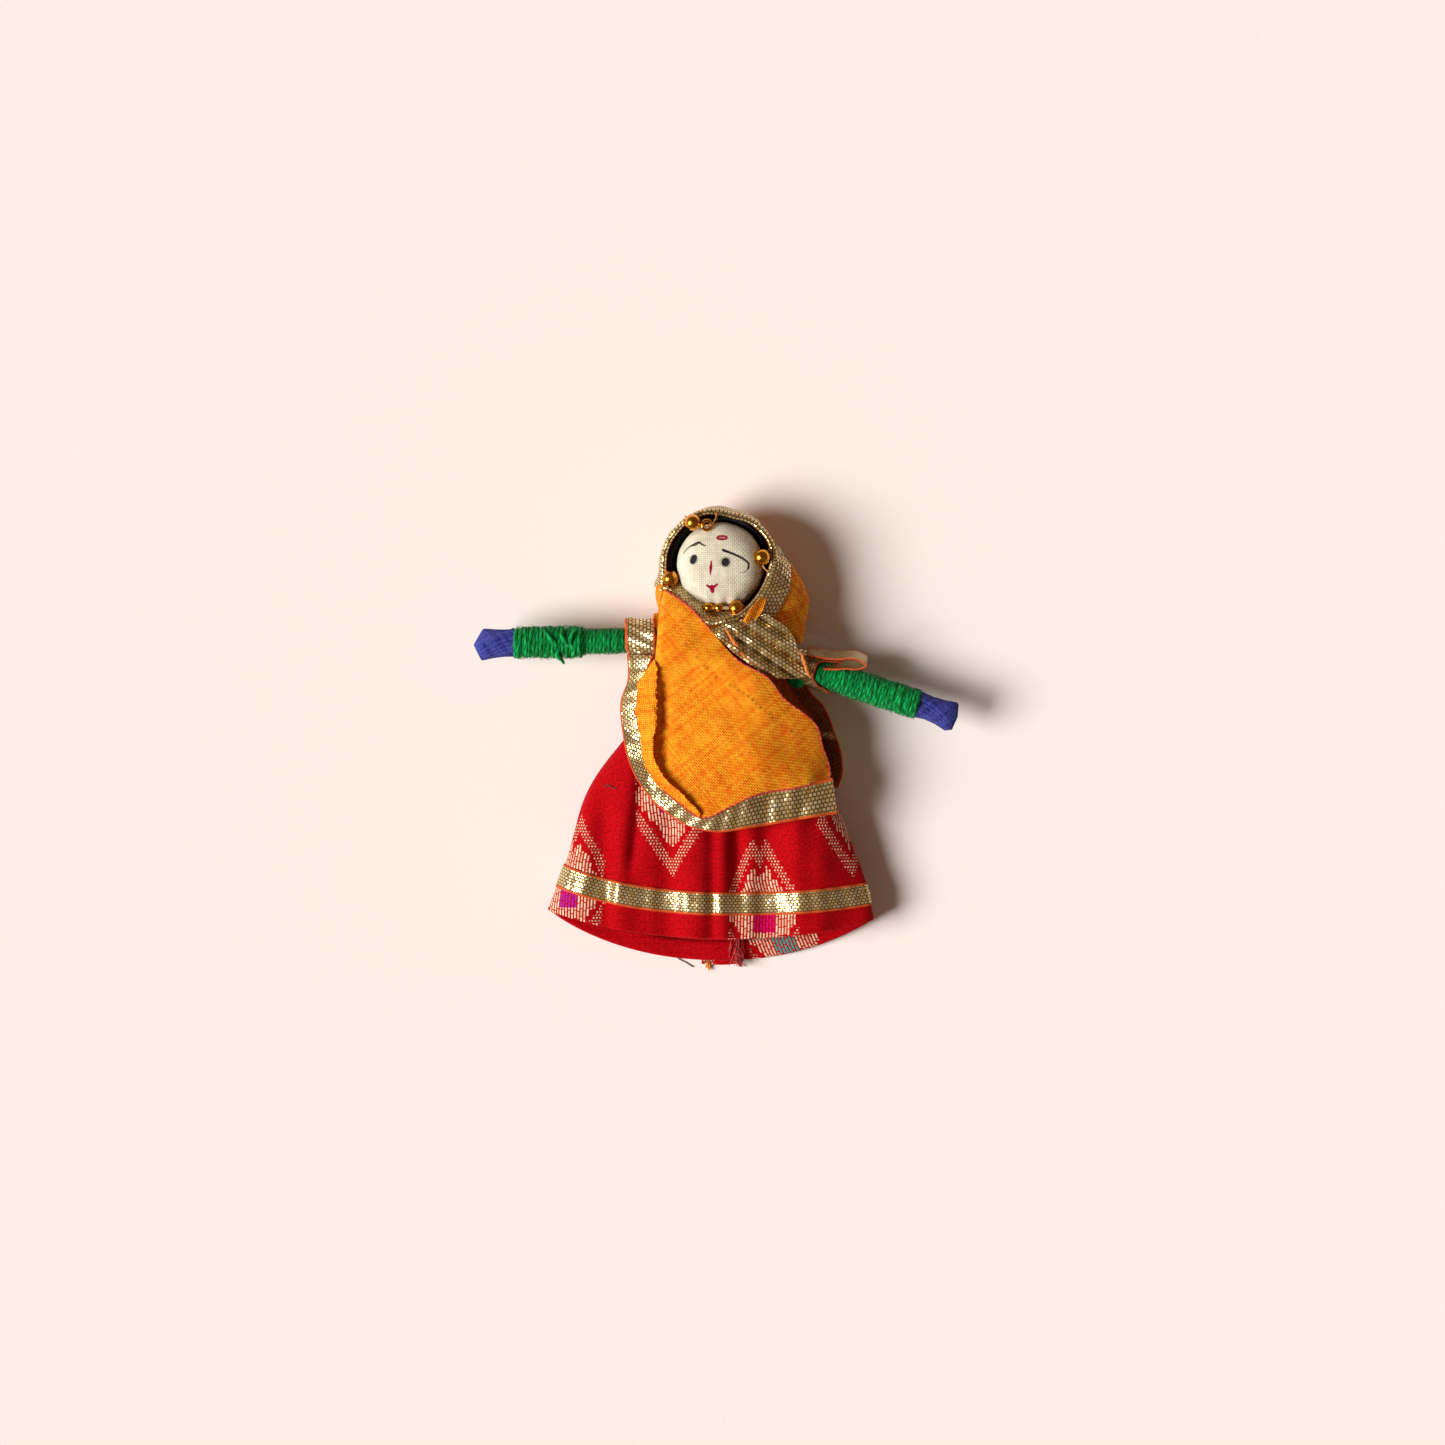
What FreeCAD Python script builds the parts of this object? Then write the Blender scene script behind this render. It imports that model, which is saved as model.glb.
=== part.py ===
"""Small cloth puppet of a Rajasthani dancer, lying on its back with its arms spread.

Row frame: +Z up from the table, +Y towards the top of the head, +X towards the puppet's left hand.
Origin: on the table, under the middle of the puppet. Millimetres throughout.
"""

import FreeCAD
import Part

import math
import os

from FreeCAD import Vector

# ---------------------------------------------------------------- driving dimensions
AXIS_X = 0.5            # the body's long axis: its place across
AXIS_Z = 10.5           # the body's long axis: its height above the table
ARM_SPAN = 101.8        # from one hand's tip to the other's
TALL = 96.0             # from the skirt's hem to the top of the hood
CLOTH = 0.5             # thickness of one drawn layer of cloth
RIBBON = 0.4            # thickness of the woven gold ribbon

FACE_RADIUS = 9.3       # head with its cotton cover on
HEAD_Y = 35.8           # centre of the head along the body
HAIR = 0.7              # thickness of the black hair cloth
PEG_RADIUS = 2.0        # neck peg that the head turns on
PEG_CLEARANCE = 0.05    # between the peg and the hole in the head
NOD_Y = 23.1            # pivot that the neck nods about

ROLL_HALF_WIDTH = 7.4   # stuffed body roll
ROLL_HALF_DEPTH = 5.0
ROLL_TOP = 21.0
ROLL_BOTTOM = -6.0
STICK_RADIUS = 1.6

WIRE_RADIUS = 0.6
KNOT_RADIUS = 2.2
RIGHT_SHOULDER = (-10.2, 20.3)
RIGHT_ARM_ANGLE = 181.0
LEFT_SHOULDER = (11.0, 16.8)
LEFT_ARM_ANGLE = -18.0
YARN_ROOT = 2.6         # where the yarn binding starts, from the shoulder pivot
YARN_END = 32.6         # where the yarn binding ends and the hand cloth starts
YARN_ROOT_RADIUS = 2.4
YARN_END_RADIUS = 3.1
HAND_DEPTH = 4.4
HAND_TIP_TOP = 1.2      # how far the blunt tip reaches to the head's side of the arm's middle

WAIST_Y = 9.0
HEM_SIDE_Y = -35.4      # where the hem meets the skirt's two sides
HEM_FRONT_Y = -41.3     # lowest point of the front layer's hem
HEM_BACK_Y = -TALL / 2  # lowest point of the back layer's hem

ARCH_RADIUS = 60.0      # roundness of the veil over the chest
CHEST_TOP = 19.2        # height of the veil's outer face over the body's long axis

BEAD_RADIUS = 1.7


# ---------------------------------------------------------------- small helpers
def place(x, y, z):
    return Vector(x, y, z)


def box(low, high):
    """A box between two corners."""
    size = [b - a for a, b in zip(low, high)]
    return Part.makeBox(size[0], size[1], size[2], Vector(*low))


def cylinder_y(radius, y_low, y_high, x=AXIS_X, z=AXIS_Z):
    """A round bar along the body's long axis."""
    return Part.makeCylinder(radius, y_high - y_low, place(x, y_low, z), place(0, 1, 0))


def ellipse_wire(y, x, z, half_width, half_depth):
    """One closed elliptical section across the body, at a place along it."""
    centre = place(x, y, z)
    if half_width >= half_depth:
        curve = Part.Ellipse(place(x + half_width, y, z), place(x, y, z + half_depth), centre)
    else:
        curve = Part.Ellipse(place(x, y, z + half_depth), place(x - half_width, y, z), centre)
    return Part.Wire([curve.toShape()])


def ellipse_bar(half_width, half_depth, y_low, y_high):
    """An elliptical bar along the body's long axis."""
    face = Part.Face(ellipse_wire(y_low, AXIS_X, AXIS_Z, half_width, half_depth))
    return face.extrude(place(0, y_high - y_low, 0))


def ellipsoid(centre, half_axes):
    """A ball stretched to three half axes."""
    ball = Part.makeSphere(1.0)
    stretch = FreeCAD.Matrix()
    stretch.scale(*half_axes)
    shape = ball.transformGeometry(stretch)
    shape.translate(Vector(*centre))
    return shape


def prism(points, z_low=-5.0, z_high=30.0):
    """An upright prism over an outline given as points across and along the body."""
    wire = Part.makePolygon([place(x, y, z_low) for x, y in points] + [place(*points[0], z_low)])
    return Part.Face(wire).extrude(place(0, 0, z_high - z_low))


def arc_prism(left, middle, right, y_far, z_low=-5.0, z_high=30.0):
    """An upright prism between an arc through three points and a straight line at y_far."""
    start, through, end = (place(x, y, z_low) for x, y in (left, middle, right))
    far_end = place(right[0], y_far, z_low)
    far_start = place(left[0], y_far, z_low)
    edges = [
        Part.Arc(start, through, end).toShape(),
        Part.LineSegment(end, far_end).toShape(),
        Part.LineSegment(far_end, far_start).toShape(),
        Part.LineSegment(far_start, start).toShape(),
    ]
    return Part.Face(Part.Wire(edges)).extrude(place(0, 0, z_high - z_low))


def export(shapes):
    """Writes each sub-part, as its solids only, to parts/NODE.step."""
    os.makedirs("parts", exist_ok=True)
    for name, shape in shapes.items():
        solids = shape.Solids
        if not solids or not all(s.isValid() and s.Volume > 0 for s in solids):
            raise ValueError(f"{name} is not made of valid solids")
        whole = solids[0] if len(solids) == 1 else Part.makeCompound(solids)
        whole.exportStep(f"parts/{name}.step")


# ---------------------------------------------------------------- body under the clothes
def make_body():
    """Stick, shoulder wire, stuffed roll, bodice cloth and the binding at the neck."""
    stick_top = NOD_Y - 0.5
    stick = cylinder_y(STICK_RADIUS, -20.0, stick_top)
    roll = ellipse_bar(ROLL_HALF_WIDTH, ROLL_HALF_DEPTH, ROLL_BOTTOM, ROLL_TOP).cut(stick)
    bodice_outer = ellipse_bar(ROLL_HALF_WIDTH + CLOTH, ROLL_HALF_DEPTH + CLOTH, 2.0, ROLL_TOP)
    bodice = bodice_outer.cut(ellipse_bar(ROLL_HALF_WIDTH, ROLL_HALF_DEPTH, 1.0, ROLL_TOP + 1))

    # one wire crosses the body and is bent at each shoulder; it passes in front of the stick
    wires = []
    for shoulder_x, shoulder_y in (RIGHT_SHOULDER, LEFT_SHOULDER):
        side = math.copysign(1.0, shoulder_x)
        start = place(AXIS_X + side * (STICK_RADIUS + 0.2), shoulder_y, AXIS_Z)
        reach = abs(shoulder_x - start.x) - KNOT_RADIUS - 0.3
        wires.append(Part.makeCylinder(WIRE_RADIUS, reach, start, place(side, 0, 0)))
    wire = Part.makeCompound(wires)
    roll = roll.cut(wire)
    bodice = bodice.cut(wire)

    binding = cylinder_y(STICK_RADIUS + 1.2, ROLL_TOP, ROLL_TOP + 1.2)
    binding = binding.cut(cylinder_y(STICK_RADIUS, ROLL_TOP - 1, ROLL_TOP + 2))
    return {
        "core_stick": stick,
        "body_roll": roll,
        "bodice_cloth": bodice,
        "shoulder_wire": wire,
        "neck_binding": binding,
    }


# ---------------------------------------------------------------- neck and head
def make_neck():
    """Neck peg, its thread winding, and the beads that lie under the chin."""
    peg = cylinder_y(PEG_RADIUS, NOD_Y + 0.5, NOD_Y + 9.9)
    winding = cylinder_y(PEG_RADIUS + 1.0, NOD_Y + 1.3, NOD_Y + 3.1).cut(peg)

    # the beads lie on the ball's chin, on one thread bent to an arc round it
    ring_y = HEAD_Y - 8.9
    ring_radius = 7.3
    ring_x = AXIS_X + 1.0
    beads = []
    for degrees, radius in ((118.5, 1.2), (101.0, 1.0), (71.5, BEAD_RADIUS)):
        angle = math.radians(degrees)
        x = ring_x + ring_radius * math.cos(angle)
        z = AXIS_Z + ring_radius * math.sin(angle)
        beads.append(Part.makeSphere(radius, place(x, ring_y, z)))
    group = Part.makeCompound(beads)

    thread = Part.makeTorus(ring_radius, 0.35, place(ring_x, ring_y, AXIS_Z), place(0, 1, 0))
    thread = thread.common(box((-20, 0, AXIS_Z + 6.0), (20, 40, 30))).cut(group)
    return {
        "neck_peg": peg,
        "neck_winding": winding,
        "necklace_beads": group,
        "necklace_thread": thread,
    }


def make_head():
    """Wooden ball, cotton cover, hair cloth, jewels, and the veil's hood with its ribbon."""
    centre = place(AXIS_X, HEAD_Y, AXIS_Z)
    cover_thickness = 0.4
    bore = cylinder_y(PEG_RADIUS + PEG_CLEARANCE, NOD_Y, NOD_Y + 10.1)
    neck_hole = cylinder_y(PEG_RADIUS + 0.8, NOD_Y, HEAD_Y - 4)

    ball = Part.makeSphere(FACE_RADIUS - cover_thickness, centre).cut(bore)
    cover = Part.makeSphere(FACE_RADIUS, centre)
    cover = cover.cut(Part.makeSphere(FACE_RADIUS - cover_thickness, centre)).cut(neck_hole)

    jewels = {
        "forehead_bead": place(-5.2, 44.6, 17.4),
        "ear_bead_right": place(-9.9, 33.0, 14.8),
        "ear_bead_left": place(9.1, 37.4, 17.6),
    }
    beads = {name: Part.makeSphere(BEAD_RADIUS, at) for name, at in jewels.items()}
    forehead = jewels["forehead_bead"]
    pendant = Part.makeTorus(1.0, 0.35, forehead + place(2.9, -0.6, 0.6), place(0.3, 0, 1))
    pendant = pendant.cut(beads["forehead_bead"]).cut(cover)

    hair = Part.makeSphere(FACE_RADIUS + HAIR, centre).cut(Part.makeSphere(FACE_RADIUS, centre))
    hair = hair.common(box((-20, HEAD_Y - 7.5, 0), (20, 60, AXIS_Z + 2.2)))

    # hood: a loose shell behind the head, fuller on the puppet's left
    hood = ellipsoid((AXIS_X + 0.7, HEAD_Y, AXIS_Z), (13.0, TALL / 2 - HEAD_Y, 10.45))
    hollow = ellipsoid((AXIS_X + 0.7, HEAD_Y, AXIS_Z), (12.4, TALL / 2 - HEAD_Y - CLOTH, 10.05))
    fullness = ellipsoid((11.5, 31.5, 8.2), (7.4, 7.6, 7.2))
    fullness_hollow = ellipsoid((11.5, 31.5, 8.2), (6.9, 7.1, 6.7))
    hood = hood.fuse(fullness).cut(hollow.fuse(fullness_hollow))
    hood = hood.common(box((-30, HEAD_Y - 9.6, -5), (30, 60, AXIS_Z + 3.6)))

    # ribbon: sewn along the hood's rim, round the top and the sides of the face
    rim_low = AXIS_Z + 3.7
    rim = ellipsoid((AXIS_X + 0.7, HEAD_Y, AXIS_Z), (13.0, TALL / 2 - HEAD_Y, 10.45))
    rim = rim.cut(hollow).common(box((-30, HEAD_Y - 5.0, rim_low), (30, 60, rim_low + 1.8)))

    for bead in beads.values():
        hair = hair.cut(bead)
        hood = hood.cut(bead)
        rim = rim.cut(bead)
    rim = rim.cut(cover).cut(pendant)

    shapes = {
        "head_ball": ball,
        "head_cover": cover,
        "hair_cloth": hair,
        "forehead_pendant": pendant,
        "veil_hood": hood,
        "veil_hood_ribbon": rim,
    }
    shapes.update(beads)
    return shapes


# ---------------------------------------------------------------- arms
def make_arm(side, shoulder, angle):
    """Shoulder knot, arm wire, yarn binding, hand cloth and ribbon sleeve of one arm."""
    pivot = place(*shoulder, AXIS_Z)
    knot = Part.makeSphere(KNOT_RADIUS, pivot)
    lean = abs(math.sin(math.radians(angle)))
    reach = (ARM_SPAN / 2 - abs(shoulder[0]) - HAND_TIP_TOP * lean) / abs(math.cos(math.radians(angle)))
    hand_length = reach - YARN_END

    # made along +X from the pivot, then turned to the arm's own direction
    wire = Part.makeCylinder(WIRE_RADIUS, YARN_END + 3.0 - YARN_ROOT, place(YARN_ROOT, 0, 0), place(1, 0, 0))

    middle = (YARN_ROOT + YARN_END) / 2
    profile = Part.BSplineCurve()
    profile.interpolate([
        place(YARN_ROOT, YARN_ROOT_RADIUS - 0.5, 0),
        place(YARN_ROOT + 1.4, YARN_ROOT_RADIUS, 0),
        place(middle, YARN_END_RADIUS - 0.2, 0),
        place(YARN_END - 3.0, YARN_END_RADIUS, 0),
        place(YARN_END, YARN_END_RADIUS - 0.35, 0),
    ])
    outline = Part.Wire([
        Part.LineSegment(place(YARN_ROOT, 0, 0), place(YARN_ROOT, YARN_ROOT_RADIUS - 0.5, 0)).toShape(),
        profile.toShape(),
        Part.LineSegment(place(YARN_END, YARN_END_RADIUS - 0.35, 0), place(YARN_END, 0, 0)).toShape(),
        Part.LineSegment(place(YARN_END, 0, 0), place(YARN_ROOT, 0, 0)).toShape(),
    ])
    yarn = Part.Face(outline).revolve(place(0, 0, 0), place(1, 0, 0), 360).cut(wire)

    # hand: cloth folded flat round the wire's end, widening to a blunt point
    tip = YARN_END + hand_length
    wide = YARN_END + hand_length * 0.8
    hand_outline = [
        (YARN_END, -2.75), (wide, -3.5), (tip, -2.0), (tip, HAND_TIP_TOP), (wide + 0.6, 3.2), (YARN_END, 2.75),
    ]
    hand = prism(hand_outline, -HAND_DEPTH / 2, HAND_DEPTH / 2)
    along = [e for e in hand.Edges if abs(e.tangentAt(e.FirstParameter).z) < 0.5]
    hand = hand.makeFillet(1.1, along).cut(wire)

    # sleeve: a loop of ribbon round the upper arm
    sleeve_start = YARN_ROOT + 0.8
    sleeve = Part.makeCylinder(YARN_END_RADIUS + 0.1 + RIBBON, 6.6, place(sleeve_start, 0, 0), place(1, 0, 0))
    sleeve = sleeve.cut(
        Part.makeCylinder(YARN_END_RADIUS + 0.1, 8.6, place(sleeve_start - 1, 0, 0), place(1, 0, 0))
    )

    shapes = {}
    for name, shape in (("wire", wire), ("yarn", yarn), ("sleeve_ribbon", sleeve)):
        shapes[f"{side}_arm_{name}"] = shape
    shapes[f"{side}_hand_cloth"] = hand
    for shape in shapes.values():
        shape.rotate(place(0, 0, 0), place(0, 0, 1), angle)
        shape.translate(pivot)
    shapes[f"{side}_shoulder_knot"] = knot
    return shapes


# ---------------------------------------------------------------- skirt
# place along the body, left edge, right edge, lowest and highest point of each section
SKIRT_SECTIONS = (
    (WAIST_Y, -9.5, 10.5, 3.6, 17.4),
    (0.0, -19.4, 18.4, 1.8, 17.6),
    (-12.0, -27.2, 24.0, 1.0, 17.0),
    (-24.0, -31.2, 28.1, -6.0, 16.2),
    (-36.0, -35.6, 32.0, -8.0, 15.6),
    (-52.0, -39.5, 36.0, -8.0, 15.0),
)
FLOOR_LAYER = 0.6       # thickness of the skirt's back layer


def skirt_loft(grow):
    """The skirt's outer surface, filled, grown outwards by a distance."""
    wires = []
    for y, left, right, low, high in SKIRT_SECTIONS:
        half_width = (right - left) / 2 + grow
        half_depth = (high - low) / 2 + grow
        wires.append(ellipse_wire(y, (left + right) / 2, (low + high) / 2, half_width, half_depth))
    return Part.makeLoft(wires, True, False)


def above(height):
    """Everything above a height."""
    return box((-60, -60, height), (60, 30, 30))


def hem_cut(shift=0.0):
    """What the hem leaves: the back layer reaches further down than the front one."""
    back = arc_prism(
        (-37.0, HEM_SIDE_Y - 0.4 + shift), (2.0, HEM_BACK_Y + shift), (34.0, HEM_SIDE_Y - 2.0 + shift), 20.0
    )
    front = arc_prism(
        (-37.0, HEM_SIDE_Y + shift), (0.0, HEM_FRONT_Y + shift), (34.0, HEM_SIDE_Y - 1.6 + shift), 20.0, 5.0
    )
    low = back.common(box((-60, -60, -5), (60, 30, 5)))
    return low.fuse(front)


def make_skirt():
    """Brocade skirt, its turned hem, its ribbon, its waist binding and its frayed seam."""
    outer = skirt_loft(0.0)
    inner = skirt_loft(-CLOTH).common(above(FLOOR_LAYER))
    skirt = outer.common(above(0.0)).cut(inner).common(hem_cut())

    # the hem is turned up inside, over the lowest few millimetres
    turned = inner.cut(skirt_loft(-2 * CLOTH).common(above(FLOOR_LAYER + CLOTH)))
    turned = turned.common(hem_cut(0.3)).cut(hem_cut(6.3))

    # ribbon over the front and the two sides, between two arcs
    band = skirt_loft(0.1 + RIBBON).cut(skirt_loft(0.1)).common(above(0.8))
    top = arc_prism((-40.0, -24.5), (1.0, -32.1), (36.0, -29.0), 20.0)
    bottom = arc_prism((-40.0, -29.3), (1.0, -36.9), (36.0, -33.8), 20.0)
    band = band.common(bottom.cut(top))

    # thread wound round the gathered waist
    y, left, right, low, high = SKIRT_SECTIONS[0]
    wound = ellipse_wire(y - 1.9, (left + right) / 2, AXIS_Z, (right - left) / 2 + 3.0, (high - low) / 2 + 0.6)
    binding = Part.Face(wound).extrude(place(0, 1.4, 0)).cut(skirt_loft(0.05))

    fringe_middle = 4.0
    fringe = box((fringe_middle - 1.4, HEM_BACK_Y, FLOOR_LAYER + CLOTH + 0.1), (fringe_middle + 1.4, -40.0, 2.2))
    return {
        "skirt_cloth": skirt,
        "skirt_turned_hem": turned,
        "skirt_ribbon": band,
        "skirt_waist_binding": binding,
        "skirt_seam_fringe": fringe,
    }


# ---------------------------------------------------------------- veil on the body
def arch(layer, thickness):
    """A sheet arched over the chest, a number of layers above the first."""
    outer_radius = ARCH_RADIUS + layer + thickness - CLOTH
    centre_z = CHEST_TOP - ARCH_RADIUS
    outer = Part.makeCylinder(outer_radius, 120, place(AXIS_X, -60, centre_z), place(0, 1, 0))
    inner = Part.makeCylinder(outer_radius - thickness, 122, place(AXIS_X, -61, centre_z), place(0, 1, 0))
    return outer.cut(inner).common(box((-40, -40, 5), (40, 40, 30)))


def make_veil():
    """Front drape, side fold, ribbons along the edges, and the layer under the back."""
    drape = arch(0.0, CLOTH).common(prism([
        (-8.9, 21.2), (1.5, 21.2), (8.8, 12.0), (14.5, 8.5), (20.5, -3.0), (23.5, -10.0),
        (0.0, -15.0), (-8.0, -14.0), (-15.5, -6.0), (-15.5, 13.0), (-8.9, 15.0),
    ]))
    lower_ribbon = arch(0.0, RIBBON).common(prism([
        (23.6, -10.2), (25.0, -16.2), (10.0, -19.0), (0.0, -20.0), (-8.2, -18.6), (-15.7, -9.8),
        (-15.7, -6.3), (-8.1, -14.2), (0.0, -15.2),
    ]))
    side_fold = arch(CLOTH + 0.1, CLOTH).common(prism([
        (-15.8, 13.5), (-12.2, 13.5), (-12.2, -6.5), (-3.0, -14.5), (-5.0, -17.0), (-15.8, -8.5),
    ]))
    side_ribbon = arch(CLOTH + 0.1, RIBBON).common(prism([
        (-20.2, 12.0), (-16.0, 12.0), (-16.0, -8.7), (-19.6, -5.0),
    ]))
    chest_ribbon = arch(CLOTH + 0.1, RIBBON).common(prism([
        (-1.0, 21.2), (7.0, 21.2), (8.6, 20.5), (8.8, 12.4), (15.0, 8.6), (13.2, 7.0), (8.0, 10.2),
    ]))
    back_height = 0.5
    back = prism([
        (-14.0, 21.5), (20.0, 21.5), (22.6, 10.0), (23.0, -4.0), (18.0, -9.5), (-13.0, -9.5), (-18.0, 2.0),
    ], 0.0, back_height)
    back_ribbon = prism([
        (20.2, 21.0), (23.5, 15.0), (26.8, 2.0), (26.0, -8.5), (23.2, -9.0), (23.1, -4.0), (22.7, 10.0),
    ], 0.0, back_height)
    return {
        "veil_front_drape": drape,
        "veil_lower_ribbon": lower_ribbon,
        "veil_side_fold": side_fold,
        "veil_side_ribbon": side_ribbon,
        "veil_chest_ribbon": chest_ribbon,
        "veil_back_layer": back,
        "veil_back_ribbon": back_ribbon,
    }


def main():
    shapes = {}
    shapes.update(make_body())
    shapes.update(make_neck())
    shapes.update(make_head())
    shapes.update(make_arm("right", RIGHT_SHOULDER, RIGHT_ARM_ANGLE))
    shapes.update(make_arm("left", LEFT_SHOULDER, LEFT_ARM_ANGLE))
    shapes.update(make_skirt())
    shapes.update(make_veil())
    export(shapes)


main()
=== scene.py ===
"""Dresses a small Rajasthani dancer puppet in cloth, yarn, gold ribbon and beads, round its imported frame."""

import math

import bmesh
import bpy
import numpy as np
from bpy.props import FloatProperty, FloatVectorProperty, PointerProperty
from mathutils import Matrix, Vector


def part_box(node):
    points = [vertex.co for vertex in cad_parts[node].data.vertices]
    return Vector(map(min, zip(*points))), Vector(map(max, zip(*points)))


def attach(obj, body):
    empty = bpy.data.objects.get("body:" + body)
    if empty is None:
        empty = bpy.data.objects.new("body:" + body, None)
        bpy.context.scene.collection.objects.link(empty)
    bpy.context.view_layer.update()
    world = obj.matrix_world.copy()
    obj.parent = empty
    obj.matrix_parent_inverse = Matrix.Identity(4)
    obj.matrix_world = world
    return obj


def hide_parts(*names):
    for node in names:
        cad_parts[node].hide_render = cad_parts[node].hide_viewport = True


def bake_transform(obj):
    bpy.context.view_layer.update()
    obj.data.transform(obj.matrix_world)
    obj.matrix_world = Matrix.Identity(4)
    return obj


bl_info = {
    "name": "Cloth Dancer Puppet",
    "version": (1, 0, 0),
    "blender": (4, 5, 0),
    "location": "3D View > Sidebar > Puppet",
    "description": "Makes the cloth, yarn, ribbon and beads of a small dancer puppet",
    "category": "Object",
}

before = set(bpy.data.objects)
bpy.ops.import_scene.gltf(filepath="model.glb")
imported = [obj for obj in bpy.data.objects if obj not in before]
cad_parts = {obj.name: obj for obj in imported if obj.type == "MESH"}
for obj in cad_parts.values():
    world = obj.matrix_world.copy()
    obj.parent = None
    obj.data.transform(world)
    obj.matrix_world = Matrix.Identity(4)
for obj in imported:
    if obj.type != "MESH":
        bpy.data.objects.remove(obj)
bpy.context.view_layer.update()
MM = 0.001
AXIS = np.array(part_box("core_stick")[0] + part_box("core_stick")[1]) / 2 / MM
HEAD = np.array(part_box("head_cover")[0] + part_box("head_cover")[1]) / 2 / MM
HEAD[1] = 35.8  # the round part's middle, not the box's
HEAD_RADIUS = 9.3
WEAVE = 0.42  # from thread to thread in the plain cottons


# ---------------------------------------------------------------- numbers and curves
def seeded(number):
    """A random source that gives the same numbers each run."""
    return np.random.default_rng(number)


def ease(x):
    """0 below 0, 1 above 1, and a smooth S between: 3x^2 - 2x^3."""
    x = np.clip(x, 0.0, 1.0)
    return x * x * (3 - 2 * x)


def hump(x, middle, width):
    """A bell, 1 at its middle: exp(-((x - middle) / width)^2)."""
    return np.exp(-(((x - middle) / width) ** 2))


def ripple(x, y, size, seed):
    """Gentle uneven waves, mostly -1 to 1: eight sine waves of about one size, each its own way."""
    source = seeded(seed)
    total = 0.0
    for _ in range(8):
        turn, start = source.uniform(0, 2 * math.pi, 2)
        length = size * source.uniform(0.7, 1.5)
        total = total + np.sin(2 * math.pi * (x * math.cos(turn) + y * math.sin(turn)) / length + start)
    return total / 4  # so that chance sums of eight waves stay near 1


def through(points, t):
    """A smooth curve through points, at shares t of its length: cubic Hermite spans between them."""
    points = np.asarray(points, float)
    t = np.asarray(t, float)
    at = np.concatenate([[0.0], np.cumsum(np.linalg.norm(np.diff(points, axis=0), axis=1))])
    at /= at[-1]
    slope = np.gradient(points, at, axis=0)
    i = np.clip(np.searchsorted(at, t, side="right") - 1, 0, len(points) - 2)
    step = (at[i + 1] - at[i])[..., None]
    f = (t - at[i])[..., None] / step
    return (
        (2 * f**3 - 3 * f**2 + 1) * points[i]
        + (f**3 - 2 * f**2 + f) * step * slope[i]
        + (3 * f**2 - 2 * f**3) * points[i + 1]
        + (f**3 - f**2) * step * slope[i + 1]
    )


def between(bottom, top, left, right, across, along):
    """A sheet between four edge curves (a Coons patch): both ruled sheets added, less the corners' own.

    bottom and top run from left to right; left and right run from bottom to top."""
    u = np.linspace(0, 1, across)[None, :, None]
    v = np.linspace(0, 1, along)[:, None, None]
    low, high = through(bottom, u[0, :, 0])[None], through(top, u[0, :, 0])[None]
    one, other = through(left, v[:, 0, 0])[:, None], through(right, v[:, 0, 0])[:, None]
    corners = (
        (1 - u) * (1 - v) * low[:, :1]
        + u * (1 - v) * low[:, -1:]
        + (1 - u) * v * high[:, :1]
        + u * v * high[:, -1:]
    )
    return (1 - v) * low + v * high + (1 - u) * one + u * other - corners


def normals(grid, wrap=False):
    """The unit normal at each point of a grid: the cross product of its slopes across and along."""
    if wrap:
        across = np.roll(grid, -1, 1) - np.roll(grid, 1, 1)
    else:
        across = np.gradient(grid, axis=1)
    out = np.cross(across, np.gradient(grid, axis=0))
    return out / np.maximum(np.linalg.norm(out, axis=-1, keepdims=True), 1e-9)


def tube(path, radius, sides=8, squash=1.0):
    """A tube round a path: a ring square to the path at each point. radius may change along it."""
    path = np.asarray(path, float)
    tangent = np.gradient(path, axis=0)
    tangent /= np.linalg.norm(tangent, axis=1, keepdims=True)
    aside = np.eye(3)[np.argmin(np.abs(tangent).mean(0))]
    side = np.cross(tangent, aside)
    side /= np.linalg.norm(side, axis=1, keepdims=True)
    up = np.cross(side, tangent)
    angle = np.linspace(0, 2 * math.pi, sides, endpoint=False)
    radius = np.broadcast_to(np.asarray(radius, float), len(path))[:, None, None]
    ring = np.cos(angle)[None, :, None] * side[:, None] + squash * np.sin(angle)[None, :, None] * up[:, None]
    return path[:, None] + radius * ring


# ---------------------------------------------------------------- meshes
def patch(grid, wrap=False, uv=None, ends=False):
    """One surface as (points, quads, UV of each quad's corners). ends closes a tube with a point at each end.

    Without uv, U and V are millimetres along and round the grid."""
    if ends:
        caps = [np.repeat(grid[i].mean(0)[None, None], grid.shape[1], 1) for i in (0, -1)]
        grid = np.concatenate([caps[0], grid, caps[1]], 0)
    rows, cols = grid.shape[:2]
    if uv is None:
        full = np.concatenate([grid, grid[:, :1]], 1) if wrap else grid
        along = np.linalg.norm(np.diff(grid, axis=0), axis=-1).mean(1)
        around = np.linalg.norm(np.diff(full, axis=1), axis=-1).mean(0)
        u = np.concatenate([[0], np.cumsum(along)])
        v = np.concatenate([[0], np.cumsum(around)])
        uv = np.stack(np.meshgrid(u, v, indexing="ij"), -1)
    place = np.arange(rows * cols).reshape(rows, cols)
    if wrap:
        place = np.concatenate([place, place[:, :1]], 1)
    paint = np.arange(uv.shape[0] * uv.shape[1]).reshape(uv.shape[:2])
    quads = [
        np.stack([g[:-1, :-1], g[:-1, 1:], g[1:, 1:], g[1:, :-1]], -1).reshape(-1, 4) for g in (place, paint)
    ]
    return grid.reshape(-1, 3), quads[0], uv.reshape(-1, 2)[quads[1]]


def strand(path, thick, sides=7):
    """A closed strand of yarn, thread or wire along a path."""
    return patch(tube(path, thick, sides), True, ends=True)


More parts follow.
